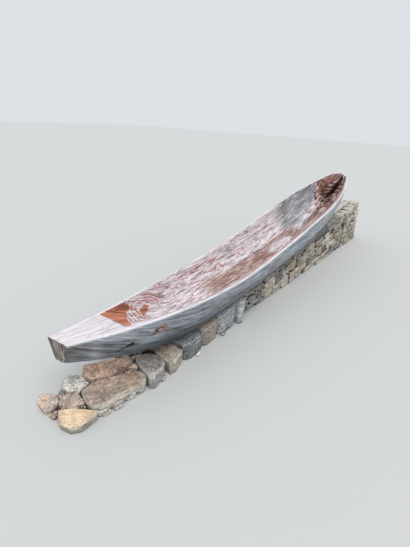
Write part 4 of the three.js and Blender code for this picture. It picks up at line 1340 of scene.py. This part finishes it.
# Stones of the front face with a colour of their own, or darkened as painted shade of the hull
# above them. Columns: lowest x, highest x, lowest z, highest z, kind
knownStones = [
    # in the top course under the hull the dark stone is painted shade of the overhanging hull, and
    # the ash stones there were chosen darker for the same painted shade
    (3250, 3600, -85, 10, "shadedDark"), (3600, 3690, -170, 10, "white"), (2090, 2230, -170, -85, "bone"),
    (1640, 2015, -240, -90, "slate"), (4080, 4900, -85, 10, "bone"),
    (4740, 4900, -400, -85, "bone"), (2300, 3250, -85, 10, "ash"), (3690, 4080, -85, 10, "ash"),
    (1960, 2860, -340, -190, "bone"), (2860, 3600, -420, -300, "bone"),
]


def splitRun(start, stop, wanted, seed):
    # splits a length into stones of about the wanted length, none alike
    count = max(1, int(np.floor((stop - start) / wanted + 0.5)))
    step = (stop - start) / count
    inner = [start + step * (i + 0.28 * vary(seed + i)) for i in range(1, count)]
    return [start, *inner, stop]


def wander(x, z):
    # beds and joints wander by noise, and the stones on both sides follow them
    place = np.array([[x / 170, z / 70, 0.0]])
    rise = wall["rise"] * float(valueNoise(place, 7)[0])
    lean = wall["lean"] * float(valueNoise(place * 1.3 + 40, 8)[0])
    return x + lean, z + rise


def stoneKind(corners, seed):
    # the known stone whose box holds the middle of the corners, or else rubble in turn
    x, z = np.mean(corners, axis=0)
    for lowX, highX, lowZ, highZ, kind in knownStones:
        if lowX < x < highX and lowZ < z < highZ:
            return kind
    return rubbleKinds[seed % len(rubbleKinds)]


def cutCell(left, right, lowLeft, lowRight, top, seed):
    # one cell of a course as one to four stones: whole, halved in height, or with a small pair
    tall = top - min(lowLeft, lowRight)
    middle = left + (right - left) * (0.5 + 0.2 * vary(seed))
    share = 0.5 + 0.15 * vary(seed + 1)
    midLeft = lowLeft + (top - lowLeft) * share + 7 * vary(seed + 2)
    midRight = lowRight + (top - lowRight) * share - 7 * vary(seed + 2)
    midMiddle = (midLeft + midRight) / 2 + 5 * vary(seed + 3)
    lowMiddle = lowLeft + (lowRight - lowLeft) * (middle - left) / (right - left)
    pick = vary(seed + 4)
    whole = [(left, lowLeft), (right, lowRight), (right, top), (left, top)]
    if tall < 60 or pick > 0.55:
        return [whole]
    lower = [(left, lowLeft), (right, lowRight), (right, midRight), (left, midLeft)]
    upper = [(left, midLeft), (right, midRight), (right, top), (left, top)]
    if pick > 0.1:
        return [lower, upper]
    if pick > -0.45:
        return [lower, [(left, midLeft), (middle, midMiddle), (middle, top), (left, top)],
                [(middle, midMiddle), (right, midRight), (right, top), (middle, top)]]
    return [upper, [(left, lowLeft), (middle, lowMiddle), (middle, midMiddle), (left, midLeft)],
            [(middle, lowMiddle), (right, lowRight), (right, midRight), (middle, midMiddle)]]


def wallStones(corners, face, depth, side, seed, ground, shadeAndDirtDepths=(7, 24)):
    # a face stone with some corners broken off, and a chip of stone wedged in each broken corner
    corners = [wander(x, z) if z > ground(x) + 12 else (x, z) for x, z in corners]
    middle = np.mean(corners, axis=0)
    size = np.ptp(np.array(corners), axis=0)
    shrunk = [(x + wall["gap"] * np.sign(middle[0] - x), z + wall["gap"] * np.sign(middle[1] - z))
              for x, z in corners]
    outline, chips = [], []
    for k, (x, z) in enumerate(shrunk):
        (beforeX, beforeZ), (afterX, afterZ) = shrunk[k - 1], shrunk[(k + 1) % len(shrunk)]
        cut = 0.1 + 0.16 * abs(vary(seed + 11 * k))
        if vary(seed + 7 * k + 2) > -0.35:
            outline.append((x + (beforeX - x) * cut, z + (beforeZ - z) * cut))
            outline.append((x + (afterX - x) * cut, z + (afterZ - z) * cut))
            if vary(seed + 5 * k + 1) > -0.1:
                chips.append((x, z, cut * size.min() * 0.8))
        else:
            outline.append((x, z))
    proud = 3 + 11 * vary(seed)
    stone = splitStone(outline, face - depth, face + proud, side, seed,
                       bevel=5 + 3 * abs(vary(seed + 1)), shadeAndDirtDepths=shadeAndDirtDepths, **stoneCuts["face"])
    stones = [(*stone, *toned(stoneKind(corners, seed), seed))]
    for k, (x, z, reach) in enumerate(chips):
        reach = max(reach, 5)
        angle = np.arange(5) * 2 * np.pi / 5 + vary(seed + k) * 2
        around = [(x + reach * np.cos(a), z + 0.8 * reach * np.sin(a)) for a in angle]
        isHeld = side == "end" or wall["coreStart"] + 30 < x < wall["length"] - 30
        if min(point[1] for point in around) < ground(x) + 2 or not isHeld:
            continue
        chip = splitStone(around, face - 60, face - 8 + 6 * vary(seed + k), side, seed + k + 1,
                          **stoneCuts["chip"])
        stones.append((*chip, *toned(rubbleKinds[(seed + 5 * k) % len(rubbleKinds)], seed + k)))
    return stones


def capUnder(x):
    # nothing lies below a cap stone's own bed
    return noBed


def placeWall(name, stones, node):
    # many stones of the wall as the piece that stands for one node
    finishStones(joinStones(name, stones), [node], "grey")


capCuts = splitRun(wall["coreStart"], wall["boulderEnd"], wall["lowCaps"][0], 3)
capCuts += splitRun(wall["boulderEnd"], wall["length"], wall["highCaps"][0], 8)[1:]
for i, (start, stop) in enumerate(zip(capCuts[:-1], capCuts[1:])):
    left, right, back = start + wall["joint"] / 2, stop - wall["joint"] / 2, wall["back"]
    _, wanted, front = wall["lowCaps" if right < wall["boulderEnd"] else "highCaps"]
    stones = []
    pieces = splitRun(left, right, wanted, i * 7 + 2)
    for part, (a, b) in enumerate(zip(pieces[:-1], pieces[1:])):
        seed = 300 + i * 29 + part * 5
        if i + part > 0:
            # earth and chips packed into the joint with the stone before
            joint = [(a - 10, front + 18), (a + 9, front + 18), (a + 9, back - 14),
                     (a - 10, back - 14)]
            packing = splitStone(joint, -wall["cap"] + 2, -15, "plan", seed + 9,
                                 **stoneCuts["packing"])
            stones.append((*packing, *toned("packing", seed)))
        for cell in cutCell(a, b, -wall["cap"], -wall["cap"], 2, seed + 2):
            own = seed + int(abs(cell[0][1])) % 7
            stones += wallStones(cell, -front, wall["capDepth"], "front", own, capUnder, (300, 600))
        first, second = (front + depth for depth in wall["capRows"])
        for row, (c, d) in enumerate(((first, second), (second, back))):
            if d - c > wall["leastRow"]:
                slant = wall["slant"] * vary(seed + row)
                corners = [(a + 3 + slant, c + 3), (b - 3 + slant, c + 3), (b - 3, d - 2),
                           (a + 3, d - 2)]
                stone = splitStone(corners, -wall["cap"] + 3, -2 + 2 * vary(seed + row), "plan",
                                   seed + row, **stoneCuts["cap"])
                kind = rubbleKinds[(seed + row) % len(rubbleKinds)]
                kind = "crest" if a > wall["crestFrom"] else kind
                stones.append((*stone, *toned(kind, seed + row)))
    placeWall(f"capStones{i + 1}", stones, f"cap_{i + 1}")
print("cap stones finished")

# Columns: name, where each course starts, wanted length, stones in a run, face, depth
faces = [
    ("front", [wall["boulderEnd"], 1780, 2860, 3960], 160, 6, -wall["front"], 95),
    ("back", [wall["coreStart"] + 20, 1800, 2900, 4000], 290, 4, wall["back"], 85),
]
stoneCount = 0
for side, starts, wanted, inRun, face, depth in faces:
    for course, start in enumerate(starts):
        top = -wall["cap"] - wall["seat"] - course * wall["course"]
        lowest = top - wall["course"] + wall["seat"] if course < len(starts) - 1 else noBed

        def bottomAt(x):
            return max(lowest, groundAt(x))

        seed = course * 131 + face
        cuts = splitRun(start, wall["length"], wanted, seed)
        tall = next(i for i, x in enumerate(cuts) if top - bottomAt(x) >= wall["leastStone"])
        runs = max(1, int(np.floor((len(cuts) - 1 - tall) / inRun + 0.5)))
        for run in range(runs):
            first = tall + int(np.floor((len(cuts) - 1 - tall) * run / runs + 0.5))
            last = tall + int(np.floor((len(cuts) - 1 - tall) * (run + 1) / runs + 0.5))
            stones = []
            for k in range(first, last):
                low, high = bottomAt(cuts[k]), bottomAt(cuts[k + 1])
                own = int(seed * 7 + k * 37)
                for part, cell in enumerate(cutCell(cuts[k], cuts[k + 1], low, high, top, own)):
                    stones += wallStones(cell, face, depth, side, own + part * 3, groundAt)
            stoneCount += len(stones)
            placeWall(f"{side}Stones{course + 1}x{run + 1}", stones,
                      f"{side}_course_{course + 1}_run_{run + 1}")
print("face stones:", stoneCount)

# The tall end: rubble in the place of the part's two end stones, facing along the wall.
for i in range(2):
    highest, lowest = -wall["cap"] - wall["seat"], groundAt(wall["length"])
    top = highest + (lowest - highest) * i / 2
    bottom = highest + (lowest - highest) * (i + 1) / 2
    stones = []
    face, depth, near, far = wall["end"]
    beds = splitRun(bottom, top, wall["endBed"], 5 + i)
    for row, (low, high) in enumerate(zip(beds[:-1], beds[1:])):
        for cell in cutCell(near, far, low, low, high, 700 + i * 31 + row * 7):
            stones += wallStones(cell, face, depth, "end", 720 + i * 43 + row * 9, groundAt)
    placeWall(f"endStones{i + 1}", stones, f"end_stone_{i + 1}")
print("end stones finished")


def makePackedEarth():
    # soil and crushed stone washed into the gaps: dark, crumbly, dry
    material, add = newMaterial("packedEarth")
    clods = add("noise", add("place"), 60, 6, 0.7)
    colour = add("ramp", clods, stops=[(0.3, "#241f1a"), (0.5, "#453c32"), (0.68, "#6d6252")])
    return finishMaterial(material, add, colour, clods, 1.0, 0.01, 0.97, 0.15)


earth = makePackedEarth()
for node in ("hearting", "slab_bed"):
    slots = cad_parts[node].data.materials
    slots.clear()
    slots.append(earth)

# The stage: a pale floor under a soft even sky with one broad light.
stage = {"floor": "#cbccca", "floorSize": 80, "floorDrop": 0.0005, "sky": "#eef2f7",
         "skyStrength": 0.85, "sun": 1.6, "sunAngle": 40, "sunTurn": (28, -24, 0)}
bpy.ops.mesh.primitive_plane_add(size=stage["floorSize"], location=(0, 0, -stage["floorDrop"]))
floor = bpy.context.object
floor.name = "floor"
floorMaterial, add = newMaterial("paleFloor")
add("output", add("surface", stage["floor"], 0.95, 0.1))
floor.data.materials.append(floorMaterial)

world = bpy.data.worlds.new("softSky")
world.use_nodes = True
bpy.context.scene.world = world
background = world.node_tree.nodes["Background"]
background.inputs["Color"].default_value = srgb(stage["sky"])
background.inputs["Strength"].default_value = stage["skyStrength"]
sunData = bpy.data.lights.new("broadLight", "SUN")
sunData.energy = stage["sun"]
sunData.angle = np.radians(stage["sunAngle"])
sun = bpy.data.objects.new("broadLight", sunData)
sun.rotation_euler = np.radians(stage["sunTurn"])
scene = bpy.context.scene
scene.collection.objects.link(sun)
scene.view_settings.view_transform = "Standard"
scene.view_settings.look = "None"

# The camera stands at a person's eye height beside the low end. Image 410 x 547, focal 411 pixels.
lens = {
    "place": (-3.4457, -1.466, 1.4836), "right": (0.5615, -0.8256, 0.0550),
    "up": (0.2649, 0.2424, 0.9333), "forward": (0.7839, 0.5095, -0.3548),
    "focalPixels": 411, "longSidePixels": 547, "sensor": 36, "clipEnd": 200,
}
cameraData = bpy.data.cameras.new("camera")
cameraData.sensor_width = lens["sensor"]
cameraData.lens = lens["focalPixels"] / lens["longSidePixels"] * lens["sensor"]
cameraData.clip_end = lens["clipEnd"]
camera = bpy.data.objects.new("camera", cameraData)
given = np.array([lens["right"], lens["up"], [-v for v in lens["forward"]]]).T
axes, _ = np.linalg.qr(given)
axes *= np.sign((axes * given).sum(0))
place = np.eye(4)
place[:3, :3] = axes
place[:3, 3] = lens["place"]
camera.matrix_world = Matrix(place.tolist())
scene.collection.objects.link(camera)
scene.camera = camera
print("stage, light and camera set")
